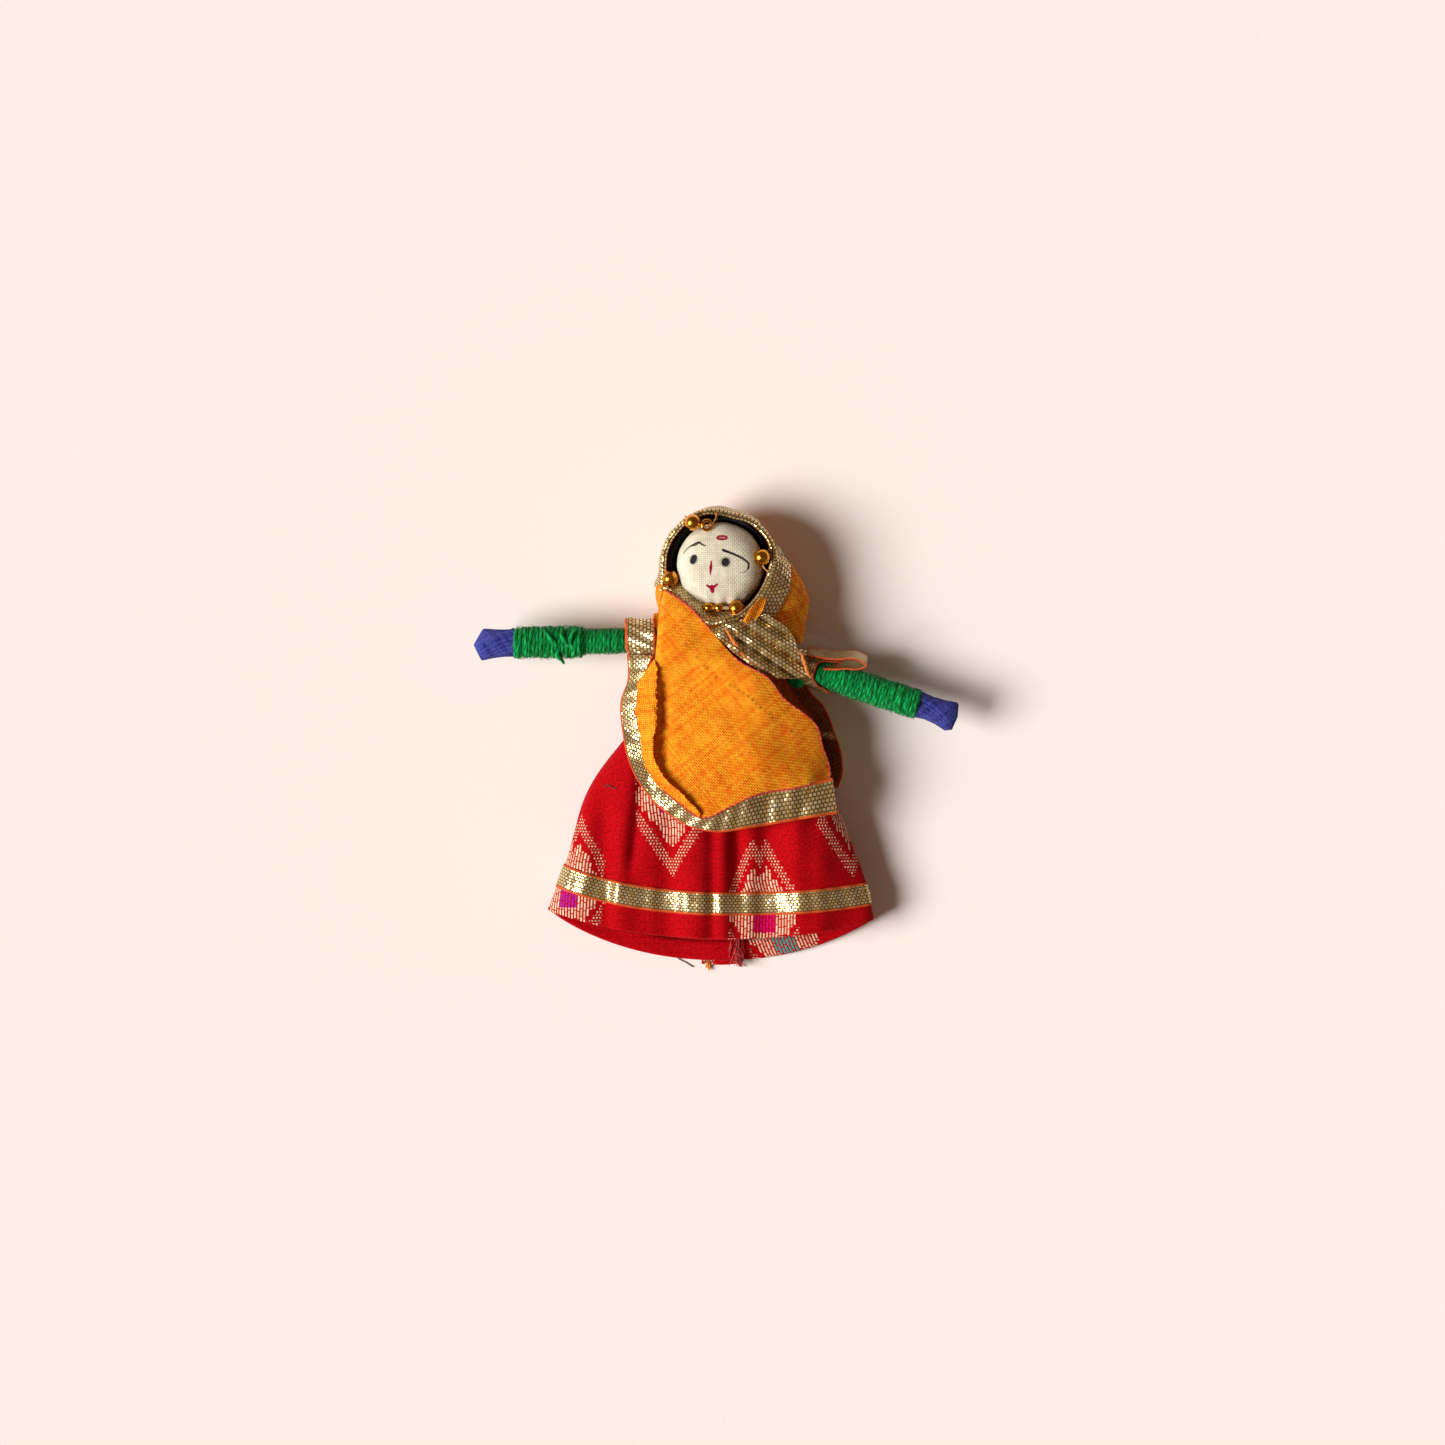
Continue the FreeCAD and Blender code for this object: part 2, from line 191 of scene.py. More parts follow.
def piece(name, parts, finish, closed=False, thickness=0.0, values=None):
    """Makes an object of patches given in millimetres. closed merges what meets and turns the faces outwards.

    thickness, in millimetres, gives a sheet its two sides. values are named numbers kept at each point."""
    points = np.concatenate([p[0] for p in parts]) * MM
    starts = np.cumsum([0] + [len(p[0]) for p in parts[:-1]])
    quads = np.concatenate([p[1] + start for p, start in zip(parts, starts)])
    corners = np.concatenate([p[2] for p in parts]).reshape(-1, 2)
    mesh = bpy.data.meshes.new(name)
    mesh.vertices.add(len(points))
    mesh.vertices.foreach_set("co", points.astype(np.float32).ravel())
    mesh.loops.add(quads.size)
    mesh.loops.foreach_set("vertex_index", quads.astype(np.int32).ravel())
    mesh.polygons.add(len(quads))
    mesh.polygons.foreach_set("loop_start", np.arange(0, quads.size, 4, dtype=np.int32))
    mesh.polygons.foreach_set("use_smooth", np.ones(len(quads), bool))
    mesh.update(calc_edges=True)
    mesh.uv_layers.new(name="cloth").data.foreach_set("uv", corners.astype(np.float32).ravel())
    for key, numbers in (values or {}).items():
        mesh.attributes.new(key, "FLOAT", "POINT").data.foreach_set(
            "value", numbers.astype(np.float32).ravel()
        )
    mesh.validate()
    if closed:
        work = bmesh.new()
        work.from_mesh(mesh)
        bmesh.ops.remove_doubles(work, verts=work.verts, dist=1e-7)
        bmesh.ops.recalc_face_normals(work, faces=work.faces)
        work.to_mesh(mesh)
        work.free()
    made = bpy.data.objects.new(name, mesh)
    bpy.context.scene.collection.objects.link(made)
    mesh.materials.append(finish)
    if thickness:
        solid = made.modifiers.new("thickness", "SOLIDIFY")
        solid.thickness = thickness * MM
        solid.offset = 0.0
    return made


# ---------------------------------------------------------------- finishes
class Number:
    """A number that a material's nodes work out. Arithmetic on it adds Math nodes."""

    def __init__(self, tree, socket):
        self.tree = tree
        self.socket = socket

    def math(self, operation, *others):
        node = self.tree.nodes.new("ShaderNodeMath")
        node.operation = operation
        for slot, value in zip(node.inputs, (self, *others)):
            if isinstance(value, Number):
                self.tree.links.new(value.socket, slot)
            else:
                slot.default_value = value
        return Number(self.tree, node.outputs[0])

    def __add__(self, other):
        return self.math("ADD", other)

    def __sub__(self, other):
        return self.math("SUBTRACT", other)

    def __mul__(self, other):
        return self.math("MULTIPLY", other)

    def __truediv__(self, other):
        return self.math("DIVIDE", other)

    def floor(self):
        return self.math("FLOOR")

    def rest(self):
        return self.math("FRACT")

    def size(self):
        return self.math("ABSOLUTE")

    def sine(self):
        return self.math("SINE")

    def least(self, other):
        return self.math("MINIMUM", other)

    def most(self, other):
        return self.math("MAXIMUM", other)

    def under(self, other):
        return self.math("LESS_THAN", other)

    def over(self, other):
        return self.math("GREATER_THAN", other)

    def fade(self, low, high, out_low=0.0, out_high=1.0):
        """Smoothly from out_low, where the number is low, to out_high, where it is high."""
        node = self.tree.nodes.new("ShaderNodeMapRange")
        node.interpolation_type = "SMOOTHSTEP"
        self.tree.links.new(self.socket, node.inputs["Value"])
        for name, value in (("From Min", low), ("From Max", high), ("To Min", out_low), ("To Max", out_high)):
            node.inputs[name].default_value = value
        return Number(self.tree, node.outputs["Result"])


class Finish:
    """A material in the making: its node tree, with short calls for the nodes that cloth and metal need."""

    def __init__(self, name, **shader):
        self.material = bpy.data.materials.new(name)
        self.material.use_nodes = True
        self.tree = self.material.node_tree
        self.shader = self.tree.nodes["Principled BSDF"]
        for key, value in shader.items():
            self.shader.inputs[key.replace("_", " ")].default_value = value

    def node(self, kind, **inputs):
        node = self.tree.nodes.new(kind)
        for key, value in inputs.items():
            self.feed(node.inputs[key], value)
        return node

    def feed(self, socket, value):
        if isinstance(value, Number):
            value = value.socket
        if isinstance(value, bpy.types.NodeSocket):
            self.tree.links.new(value, socket)
        else:
            socket.default_value = value

    def cloth(self):
        """U and V of the piece's own map, in millimetres of cloth."""
        parts = self.node("ShaderNodeSeparateXYZ", Vector=self.tree.nodes.new("ShaderNodeUVMap").outputs[0])
        return Number(self.tree, parts.outputs[0]), Number(self.tree, parts.outputs[1])

    def space(self):
        """Object coordinates, in metres."""
        return self.tree.nodes.new("ShaderNodeTexCoord").outputs["Object"]

    def point(self, x, y, z=0.0):
        return self.node("ShaderNodeCombineXYZ", X=x, Y=y, Z=z).outputs[0]

    def kept(self, name):
        """A number kept at the mesh's points."""
        node = self.tree.nodes.new("ShaderNodeAttribute")
        node.attribute_name = name
        return Number(self.tree, node.outputs["Fac"])

    def noise(self, where, scale, detail=3.0, roughness=0.55):
        node = self.node("ShaderNodeTexNoise", Vector=where, Scale=scale, Detail=detail, Roughness=roughness)
        return Number(self.tree, node.outputs[0])

    def chance(self, where):
        """A random number for each place."""
        return Number(self.tree, self.node("ShaderNodeTexWhiteNoise", Vector=where).outputs[0])

    def mix(self, share, one, other):
        node = self.tree.nodes.new("ShaderNodeMix")
        node.data_type = "RGBA"
        for socket, value in zip((node.inputs[0], node.inputs[6], node.inputs[7]), (share, one, other)):
            self.feed(socket, value)
        return node.outputs[2]

    def shaded(self, colour, share):
        """A colour multiplied by a number."""
        node = self.tree.nodes.new("ShaderNodeVectorMath")
        node.operation = "SCALE"
        self.feed(node.inputs[0], colour)
        self.feed(node.inputs["Scale"], share)
        return node.outputs[0]

    def raised(self, height, distance, strength=1.0):
        """Bumps of a height from 0 to 1, distance millimetres tall."""
        node = self.node("ShaderNodeBump", Height=height, Distance=distance * MM, Strength=strength)
        self.tree.links.new(node.outputs[0], self.shader.inputs["Normal"])

    def colour(self, value):
        self.feed(self.shader.inputs["Base Color"], value)
        return self


def rgb(red, green, blue):
    """A colour as the eye sees it, 0 to 255, as the light it reflects."""
    light = [c / 255 / 12.92 if c <= 10 else ((c / 255 + 0.055) / 1.055) ** 2.4 for c in (red, green, blue)]
    return (*light, 1.0)


def weave(u, v, pitch):
    """Plain weave of threads one pitch apart, as (height, number of the thread across, of the thread along).

    Each thread is a sine's arch, and the two sets take turns on top, as squares of a chessboard do."""
    a, b = u / pitch, v / pitch
    arch_a, arch_b = (a * math.pi).sine().size(), (b * math.pi).sine().size()
    turn = ((a.floor() + b.floor()) * 0.5).rest().over(0.25)
    height = arch_a * turn + arch_b * (turn * -1.0 + 1.0)
    return height, a.floor(), b.floor()


def plain_cloth(name, light, dark, pitch, turn=0.0, mottle=0.25, relief=0.12, sheen=0.06, depth=0.6):
    """Plain-woven cotton: uneven threads, blotchy dye and a soft sheen, with painted shade in the gaps between
    threads.

    Its own number "mark", where a piece has one, darkens it towards 1, as at a needle hole. depth is the
    strength of the painted weave shade, from the threads' tops down to the gaps between them."""
    f = Finish(name, Roughness=0.85, Sheen_Weight=sheen, Sheen_Roughness=0.5)
    f.shader.inputs["Specular IOR Level"].default_value = 0.04
    u, v = f.cloth()
    c, s = math.cos(math.radians(turn)), math.sin(math.radians(turn))
    u, v = u * c + v * s, v * c - u * s
    height, across, along = weave(u, v, pitch)
    thread = f.noise(f.point(across, v * 0.3), 3.7, 2.0) + f.noise(f.point(u * 0.3, along), 3.9, 2.0)
    thread = thread * 0.72 + (f.chance(f.point(across, 1.0)) + f.chance(f.point(2.0, along))) * 0.28
    blotch = f.noise(f.point(u, v), 0.35, 4.0)
    share = (thread * 0.5).fade(0.28, 0.72) * (1 - mottle) + blotch.fade(0.35, 0.65) * mottle
    colour = f.mix(share, dark, light)
    # Painted shade: the colour is scaled by the weave's height, darker in the gaps between threads and lighter
    # on their tops, as far as depth says.
    f.colour(f.shaded(colour, (height * depth + (1.0 - depth * 0.62)) * (f.kept("mark") * -0.85 + 1.0)))
    f.raised(height + thread * 0.5, relief)
    return f.material


def brocade(name, colours):
    """Red figured cloth: a fine twill, with medallions of cream floats, dotted borders and bright hearts.

    Medallions stand in two sets, placed like bricks; in the first, each is a step further down the cloth than
    the last. A medallion's edge lies where the way down from its middle, plus a slope times the way aside
    from one of its two peaks, reaches its half height."""
    f = Finish(name, Roughness=0.75, Sheen_Weight=0.05, Sheen_Roughness=0.4)
    f.shader.inputs["Specular IOR Level"].default_value = 0.04
    u, v = f.cloth()
    column, rise = 0.68, 1.7
    i = (u / column).floor()
    shifted = v + f.chance(f.point(i, 5.0)) * rise
    j = (shifted / rise).floor()
    in_u, in_v = (u / column).rest() - 0.5, (shifted / rise).rest() - 0.5
    middle_u = (i + 0.5) * column
    dot_wide, dot_tall = 0.7, 0.62
    k = (v / dot_tall).floor()
    dot_u = (u / dot_wide + (k * 0.5).rest()).rest() - 0.5
    dot_v = (v / dot_tall).rest() - 0.5

    period_v, row_shift = 50.0, 37.5
    peak_aside, half_width, heart_half = 1.5, 7.6, 2.3
    half_height, border_start, border_end = 11.6, 12.9, 16.6
    edge = in_heart = which = None
    for half, (period_u, shift, step) in enumerate(((43.0, -11.8, 5.2), (41.0, 8.7, 0.0))):
        across = middle_u / period_u + (shift / period_u)
        number = (across + 0.5).floor()
        down = (v - number * step) / period_v + (0.5 * half - row_shift / period_v)
        aside = (((across + 0.5).rest() - 0.5) * period_u).size()
        dv = ((down + 0.5).rest() - 0.5) * period_v
        upward = dv.under(0.0)
        peak = (aside - peak_aside).size() * 1.75 * upward + aside * 1.45 * (upward * -1.0 + 1.0)
        this = dv.size() + peak + (aside - half_width).most(0.0) * 20.0
        heart = aside.under(heart_half) * (dv - 0.8).size().under(heart_half)
        if half == 0:
            edge, in_heart = this, heart
            which = ((number + (down + 0.5).floor() * 3.0) / 3.0 + 0.1).rest()
        else:
            edge, in_heart = edge.least(this), in_heart.most(heart)

    solid = (edge + f.chance(f.point(i, 2.0)) * 1.6).under(half_height)
    dots = edge.under(border_end) * edge.over(border_start)
    float_mask = in_u.size().under(0.27) * in_v.size().under(0.44) * solid
    dot_mask = dot_u.size().under(0.27) * dot_v.size().under(0.27) * dots
    drawn = float_mask.most(dot_mask)

    twill = ((u + v) / 0.3 * math.pi).sine().size()
    fine = f.noise(f.point(u, v), 2.2, 4.0)
    ground = f.mix(fine.fade(0.35, 0.65), colours.red_dark, colours.red_light)
    # Painted shade: the ground is darker in the twill's grooves.
    ground = f.shaded(ground, twill * 0.35 + 0.72)
    cream = f.mix(f.chance(f.point(i, j, 3.0)), colours.cream, rgb(214, 168, 138))
    bright = f.mix(which.over(0.3), colours.magenta, f.mix(which.over(0.6), colours.teal, colours.violet))
    figure = f.mix(in_heart, cream, bright)
    crown = (in_u * math.pi).math("COSINE")
    # Painted shade: each float and dot is darker towards its sides and lighter along its rounded top (crown).
    f.colour(f.mix(drawn, ground, f.shaded(figure, crown * 0.35 + 0.68)))
    f.raised(twill * 0.25 + drawn * crown * 0.9, 0.14)
    return f.material


def gold_ribbon(name, colours, width, edge=0.42, glitter=1.0):
    """Woven metallic ribbon: rows of small foil cells, each with its own tilt, and corded selvedges.

    U runs along the ribbon and V across it, in millimetres. The cells are a brick bond. glitter scales
    their tilt, and edge is the selvedge's width."""
    f = Finish(name, Roughness=0.24, Metallic=1.0)
    u, v = f.cloth()
    v = (v / width).rest() * width
    cell_long, cell_wide = 0.9, 0.62
    row = (v / cell_wide).floor()
    along = u / cell_long + (row * 0.5).rest()
    in_u, in_v = along.rest() - 0.5, (v / cell_wide).rest() - 0.5
    cell = f.point(along.floor(), row)
    tilt_u, tilt_v = f.chance(cell) - 0.5, f.chance(f.point(row, along.floor(), 7.0)) - 0.5
    crown = (in_u * in_u * -3.2 + 1.0) * (in_v * in_v * -3.2 + 1.0)
    height = crown * 0.3 + in_u * tilt_u * 0.6 * glitter + in_v * tilt_v * 0.5 * glitter
    gap = (in_u.size().over(0.36)).most(in_v.size().over(0.37))
    selvedge = v.under(edge).most(v.over(width - edge))
    metal = f.mix(f.chance(f.point(row, along.floor(), 3.0)), colours.gold, colours.gold_pale)
    foil = f.mix(gap, metal, colours.gold_dark)
    cord_pitch = 0.42
    cord = ((u + v * 1.2) / cord_pitch * math.pi).sine().size()
    dyed = f.mix(f.noise(f.point(u, v), 1.1), colours.selvedge, colours.orange_dark)
    # Painted shade: the corded selvedge is darker in the grooves between its twists.
    orange = f.shaded(dyed, cord * 0.5 + 0.6)
    f.colour(f.mix(selvedge, foil, orange))
    f.feed(f.shader.inputs["Metallic"], (selvedge * -1.0 + 1.0) * (gap * -0.6 + 0.66))
    f.feed(f.shader.inputs["Roughness"], selvedge * 0.5 + gap * 0.25 + 0.21)
    f.raised(height * (selvedge * -1.0 + 1.0) + selvedge * (cord * 0.5 + 0.6), 0.16)
    return f.material


def yarn(name, light, dark):
    """Fuzzy wool yarn: fine fibres twisted along the strand, with pale flecks. U runs along the strand."""
    f = Finish(name, Roughness=0.9, Sheen_Weight=0.15, Sheen_Roughness=0.45)
    f.shader.inputs["Specular IOR Level"].default_value = 0.04
    u, v = f.cloth()
    fibre = f.noise(f.point(u * 0.5 + v * 0.35, v * 3.2), 2.6, 5.0, 0.7)
    ply = ((u * 0.9 + v * 1.3) * 3.2).sine() * 0.5 + 0.5
    # Painted shade: ply darkens the colour in the grooves of the twist, on top of the fibres' own darker and
    # lighter tone.
    colour = f.mix((fibre * 0.8 + ply * 0.2).fade(0.36, 0.6), dark, light)
    f.colour(f.mix(fibre.fade(0.66, 0.8, 0.0, 0.45), colour, rgb(96, 205, 140)))
    f.raised(fibre * 0.8 + ply * 0.3, 0.22)
    return f.material


def thread(name, light, dark):
    """Twisted sewing thread, lighter on the twist's ridges and darker in its grooves as painted shade, with
    some random tone.
    """
    f = Finish(name, Roughness=0.7, Sheen_Weight=0.2)
    u, v = f.cloth()
    twist = ((u * 2.4 + v * 2.0) * 2.2).sine() * 0.5 + 0.5
    f.colour(f.mix(twist * 0.7 + f.noise(f.point(u, v), 2.0) * 0.3, dark, light))
    f.raised(twist, 0.05)
    return f.material


def face_cotton(name, colours):
    """White cotton drawn over the head, with its features painted on, and soaked into, the weave."""
    f = Finish(name, Roughness=0.85, Sheen_Weight=0.04)
    f.shader.inputs["Specular IOR Level"].default_value = 0.04
    f.shader.inputs["Subsurface Weight"].default_value = 0.4
    f.shader.inputs["Subsurface Radius"].default_value = (1.0, 0.8, 0.6)
    f.shader.inputs["Subsurface Scale"].default_value = 0.0025
    u, v = f.cloth()
    height, across, along = weave(u, v, WEAVE)
    slub = f.noise(f.point(across, v * 0.1), 1.6, 2.0) + f.noise(f.point(u * 0.1, along), 1.6, 2.0)
    soft = f.noise(f.point(u, v), 0.3, 3.0)
    ground = f.mix(soft.fade(0.3, 0.75), colours.cotton_dark, colours.cotton)
    # Painted shade: the ground is darker in the weave's gaps and lighter on the thread tops (height); the
    # slubs add their own tone.
    ground = f.shaded(ground, height * 0.3 + slub.fade(0.75, 1.25) * 0.14 + 0.66)
    soak = height * 0.25 + slub * 0.25 + 0.5
    black = (f.kept("black") * (soak + 0.35)).least(1.0)
    red = (f.kept("red") * (soak + 0.3)).least(1.0)
    f.colour(f.mix(black, f.mix(red, ground, colours.paint_red), colours.paint_black))
    f.raised(height * 0.7 + slub * 0.4, 0.09)
    return f.material


def black_cloth(name):
    """Matt black cloth with a fine weave and a little lint."""
    f = Finish(name, Roughness=0.95, Sheen_Weight=0.12)
    f.shader.inputs["Specular IOR Level"].default_value = 0.04
    u, v = f.cloth()
    height, _, _ = weave(u, v, 0.3)
    lint = f.noise(f.point(u, v), 1.4, 5.0).fade(0.55, 0.8)
    f.colour(f.mix(lint * 0.5, rgb(14, 11, 12), rgb(58, 50, 48)))
    f.raised(height, 0.07)
    return f.material


def gilt(name, colours):
    """Plated bead: warm polished metal, worn and hazy in spots."""
    f = Finish(name, Roughness=0.2, Metallic=1.0)
    spots = f.noise(f.space(), 900.0, 4.0)
    f.colour(f.mix(spots.fade(0.45, 0.7), colours.bead, colours.bead_dark))
    f.feed(f.shader.inputs["Roughness"], spots * 0.22 + 0.12)
    f.raised(f.noise(f.space(), 2600.0, 3.0), 0.02)
    return f.material


def drawn_wire(name):
    """Drawn steel wire with fine lines along it and a few dull spots."""
    f = Finish(name, Roughness=0.35, Metallic=1.0)
    stains = f.noise(f.space(), 700.0, 4.0)
    f.colour(f.mix(stains.fade(0.4, 0.7), rgb(190, 186, 178), rgb(128, 116, 100)))
    f.feed(f.shader.inputs["Roughness"], stains * 0.4 + 0.2)
    f.raised(stains, 0.02)
    return f.material


def turned_wood(name):
    """Plain soft wood: rings stretched along the grain, with darker pores."""
    f = Finish(name, Roughness=0.6)
    mapping = f.node("ShaderNodeMapping", Vector=f.space())
    mapping.inputs["Scale"].default_value = (900.0, 60.0, 900.0)
    grain = f.noise(mapping.outputs[0], 1.0, 5.0, 0.6)
    f.colour(f.mix(grain.fade(0.35, 0.65), rgb(150, 108, 66), rgb(214, 176, 124)))
    f.raised(grain, 0.05)
    return f.material


def rag(name):
    """Undyed cotton rag, coarse and slubby."""
    return plain_cloth(name, rgb(226, 214, 190), rgb(186, 170, 142), 0.5, mottle=0.5, relief=0.14)


def paper(name):
    """Pale warm card, with faint fibres."""
    f = Finish(name, Roughness=0.8)
    f.shader.inputs["Specular IOR Level"].default_value = 0.04
    fibre = f.noise(f.space(), 420.0, 6.0, 0.6)
    cloud = f.noise(f.space(), 6.0, 2.0)
    f.colour(f.mix(cloud * 0.5 + fibre * 0.5, rgb(243, 237, 236), rgb(248, 243, 242)))
    f.raised(fibre, 0.03)
    return f.material


# ---------------------------------------------------------------- what a user may change
def tint(name, description, *shown):
    """A colour that a user may change. shown is its default as the eye sees it, 0 to 255."""
    return FloatVectorProperty(
        name=name, description=description, subtype="COLOR", size=4, min=0.0, max=1.0, default=rgb(*shown)
    )


class PuppetColours(bpy.types.PropertyGroup):
    """Dyes, paints and metals."""

    orange: tint("Orange", "Veil cloth where it is bright", 255, 180, 40)
    orange_dark: tint("Orange, dark", "Veil cloth in its darker threads", 236, 96, 6)
    pink: tint("Pink", "Overlocked edge of the veil", 226, 66, 58)
    red_light: tint("Red", "Skirt ground where it is bright", 204, 7, 22)
    red_dark: tint("Red, dark", "Skirt ground in its darker threads", 158, 2, 10)
    cream: tint("Cream", "Skirt figures", 252, 222, 190)
    magenta: tint("Magenta", "Heart of some figures", 214, 12, 120)
    violet: tint("Violet", "Heart of some figures", 168, 40, 170)
    teal: tint("Teal", "Heart of some figures", 0, 170, 162)
    gold: tint("Gold", "Ribbon foil", 232, 190, 108)
    gold_pale: tint("Gold, pale", "Ribbon foil, the paler cells", 254, 232, 184)
    selvedge: tint("Selvedge", "Corded edges of the ribbon", 222, 84, 34)
    gold_dark: tint("Gold, dark", "Between the foil cells", 74, 56, 20)
    cotton: tint("Cotton", "Head cover", 244, 240, 222)
    cotton_dark: tint("Cotton, dark", "Head cover in its duller patches", 226, 220, 198)
    paint_red: tint("Red paint", "Mouth, nose and forehead mark", 158, 12, 50)
    paint_black: tint("Black paint", "Eyes and brows", 34, 32, 38)
    bead: tint("Bead", "Plated beads", 232, 160, 52)
    bead_dark: tint("Bead, worn", "Plated beads where they are worn", 158, 84, 22)
    green: tint("Green", "Arm yarn", 10, 186, 92)
    # green_dark also stands for the painted shade in the yarn's ply grooves.
    green_dark: tint("Green, dark", "Arm yarn between the fibres", 1, 98, 46)
    blue: tint("Blue", "Hand cloth", 84, 92, 190)
    # The hand cloth's darkness between its threads is painted weave shade from plain_cloth's depth, as well as
    # this colour.
    blue_dark: tint("Blue, dark", "Hand cloth between the threads", 24, 26, 112)


class PuppetSizes(bpy.types.PropertyGroup):
    """Lengths in millimetres, and the light."""

    cloth: FloatProperty(name="Cloth", description="Thickness of the cloth, mm", default=0.28, min=0.05)
    ribbon: FloatProperty(
        name="Ribbon width", description="Width of the gold ribbon, mm", default=5.2, min=1.0
    )
    strand: FloatProperty(
        name="Yarn", description="Radius of a strand of arm yarn, mm", default=0.43, min=0.1
    )
    fibre: FloatProperty(
        name="Fuzz", description="Length of the yarn's loose fibres, mm", default=1.1, min=0.0
    )
    view_height: FloatProperty(
        name="Camera height", description="Camera above the table, m", default=1.3, unit="LENGTH"
    )
    view_width: FloatProperty(
        name="View width", description="Width of table in view, m", default=0.30345, unit="LENGTH"
    )
    key: FloatProperty(name="Key light", description="Strength of the key light, W/m2", default=4.35, min=0.0)
    fill: FloatProperty(
        name="Fill light", description="Strength of the light all round", default=0.15, min=0.0
    )


def sizes():
    """The lengths and light strengths now set."""
    return bpy.context.scene.puppet_sizes


def colours():
    """The colours now set."""
    return bpy.context.scene.puppet_colours


def veil_cloth(name, turn=0.0):
    """The veil's orange cotton, its threads turned by some degrees."""
    c = colours()
    # depth=0.85 gives the veil painted shade in the gaps of its weave.
    return plain_cloth(name, c.orange, c.orange_dark, WEAVE, turn, depth=0.85)


# ---------------------------------------------------------------- stage
def make_stage():
    """Pale card, a soft key light from the puppet's right and a little below, and a camera straight above."""
    s = sizes()
    bpy.ops.mesh.primitive_plane_add(size=1.6)
    card = bpy.context.object
    card.name = "card"
    card.data.materials.append(paper("pale_card"))

    key = bpy.data.lights.new("key", "SUN")
    key.energy = s.key
    key.angle = math.radians(31)
    elevation = math.radians(42)
    key.color = (1.0, 0.96, 0.91)
    lamp = bpy.data.objects.new("key", key)
    towards = Vector((1.0, 0.2, 0.0)).normalized() * math.cos(elevation)
    towards.z = -math.sin(elevation)
    lamp.rotation_euler = towards.to_track_quat("-Z", "Y").to_euler()
    bpy.context.scene.collection.objects.link(lamp)

    world = bpy.data.worlds.new("room")
    world.use_nodes = True
    background = world.node_tree.nodes["Background"]
    background.inputs["Color"].default_value = (1.0, 0.66, 0.46, 1.0)
    background.inputs["Strength"].default_value = s.fill
    bpy.context.scene.world = world
    bpy.context.scene.view_settings.view_transform = "Standard"

    eye = bpy.data.cameras.new("eye")
    eye.sensor_width = 36.0
    eye.lens = eye.sensor_width * s.view_height / s.view_width
    camera = bpy.data.objects.new("eye", eye)
    middle = (0.95 * MM, 3.15 * MM)
    camera.location = (*middle, s.view_height)
    bpy.context.scene.collection.objects.link(camera)
    bpy.context.scene.camera = camera


# ---------------------------------------------------------------- head
def stroke(x, y, points, width, soft):
    """Paint along a brush stroke: 1 within width of the line through points, fading to 0 over soft."""
    line = through(np.array([p[:2] for p in points]), np.linspace(0, 1, 60))
    thick = np.interp(np.linspace(0, 1, 60), np.linspace(0, 1, len(points)), [p[2] for p in points])
    away = np.full(x.shape, 9.0)
    for (px, py), w in zip(line, thick * width):
        away = np.minimum(away, np.hypot(x - px, y - py) - w)
    return 1 - ease(away / soft + 0.5)


# a brush stroke: its points with their thickness, then its width, softness and strength
BLACK_STROKES = [
    ([(-5.7, 0.7, 1.0), (-5.55, 1.1, 1.15), (-5.4, 1.5, 1.0)], 0.62, 0.35, 0.8),
    ([(1.05, 0.45, 1.0), (1.12, 0.6, 1.0)], 0.86, 0.35, 0.8),
    ([(-5.55, 1.1, 1.0), (-5.5, 1.2, 1.0)], 0.9, 0.7, 0.4),
    ([(1.05, 0.5, 1.0), (1.1, 0.6, 1.0)], 1.05, 0.7, 0.4),
    (
        [
            (-7.7, 2.3, 0.4), (-6.6, 3.6, 0.5), (-5.1, 4.3, 0.7), (-4.3, 4.6, 1.5), (-3.9, 4.3, 1.0),
            (-3.1, 3.9, 0.5),
        ],
        0.22, 0.12, 0.75,
    ),
    (
        [
            (0.6, 3.0, 1.6), (1.7, 2.6, 1.3), (3.3, 1.95, 1.3), (4.9, 1.1, 1.2), (5.9, 0.1, 1.2),
            (5.7, -0.9, 1.0),
        ],
        0.19, 0.16, 0.8,
    ),
    ([(5.7, -0.9, 1.0), (5.0, -1.5, 0.8), (3.9, -1.8, 0.4)], 0.17, 0.18, 0.42),
]
MARK_RING = [
    (0.35 + 1.0 * math.cos(a), 5.6 + 0.36 * math.sin(a), 1.0) for a in np.linspace(0, 2 * math.pi, 14)
]
RED_STROKES = [
    ([(-1.85, 0.75, 0.6), (-1.95, -0.4, 1.6), (-2.1, -2.0, 0.5)], 0.2, 0.12, 1.0),
    ([(-2.75, -4.3, 1.0), (-1.7, -4.75, 1.4), (-0.7, -4.1, 1.0)], 0.22, 0.18, 1.0),
    ([(-1.75, -4.7, 1.5), (-1.6, -5.5, 1.0)], 0.36, 0.18, 1.0),
    (MARK_RING, 0.2, 0.22, 1.0),
    ([(-0.4, 5.5, 1.0), (0.5, 5.65, 1.0)], 0.3, 0.3, 0.6),
]


def painted(x, y, strokes):
    """The strongest of several brush strokes at each point."""
    return np.maximum.reduce(
        [strength * stroke(x, y, points, width, soft) for points, width, soft, strength in strokes]
    )


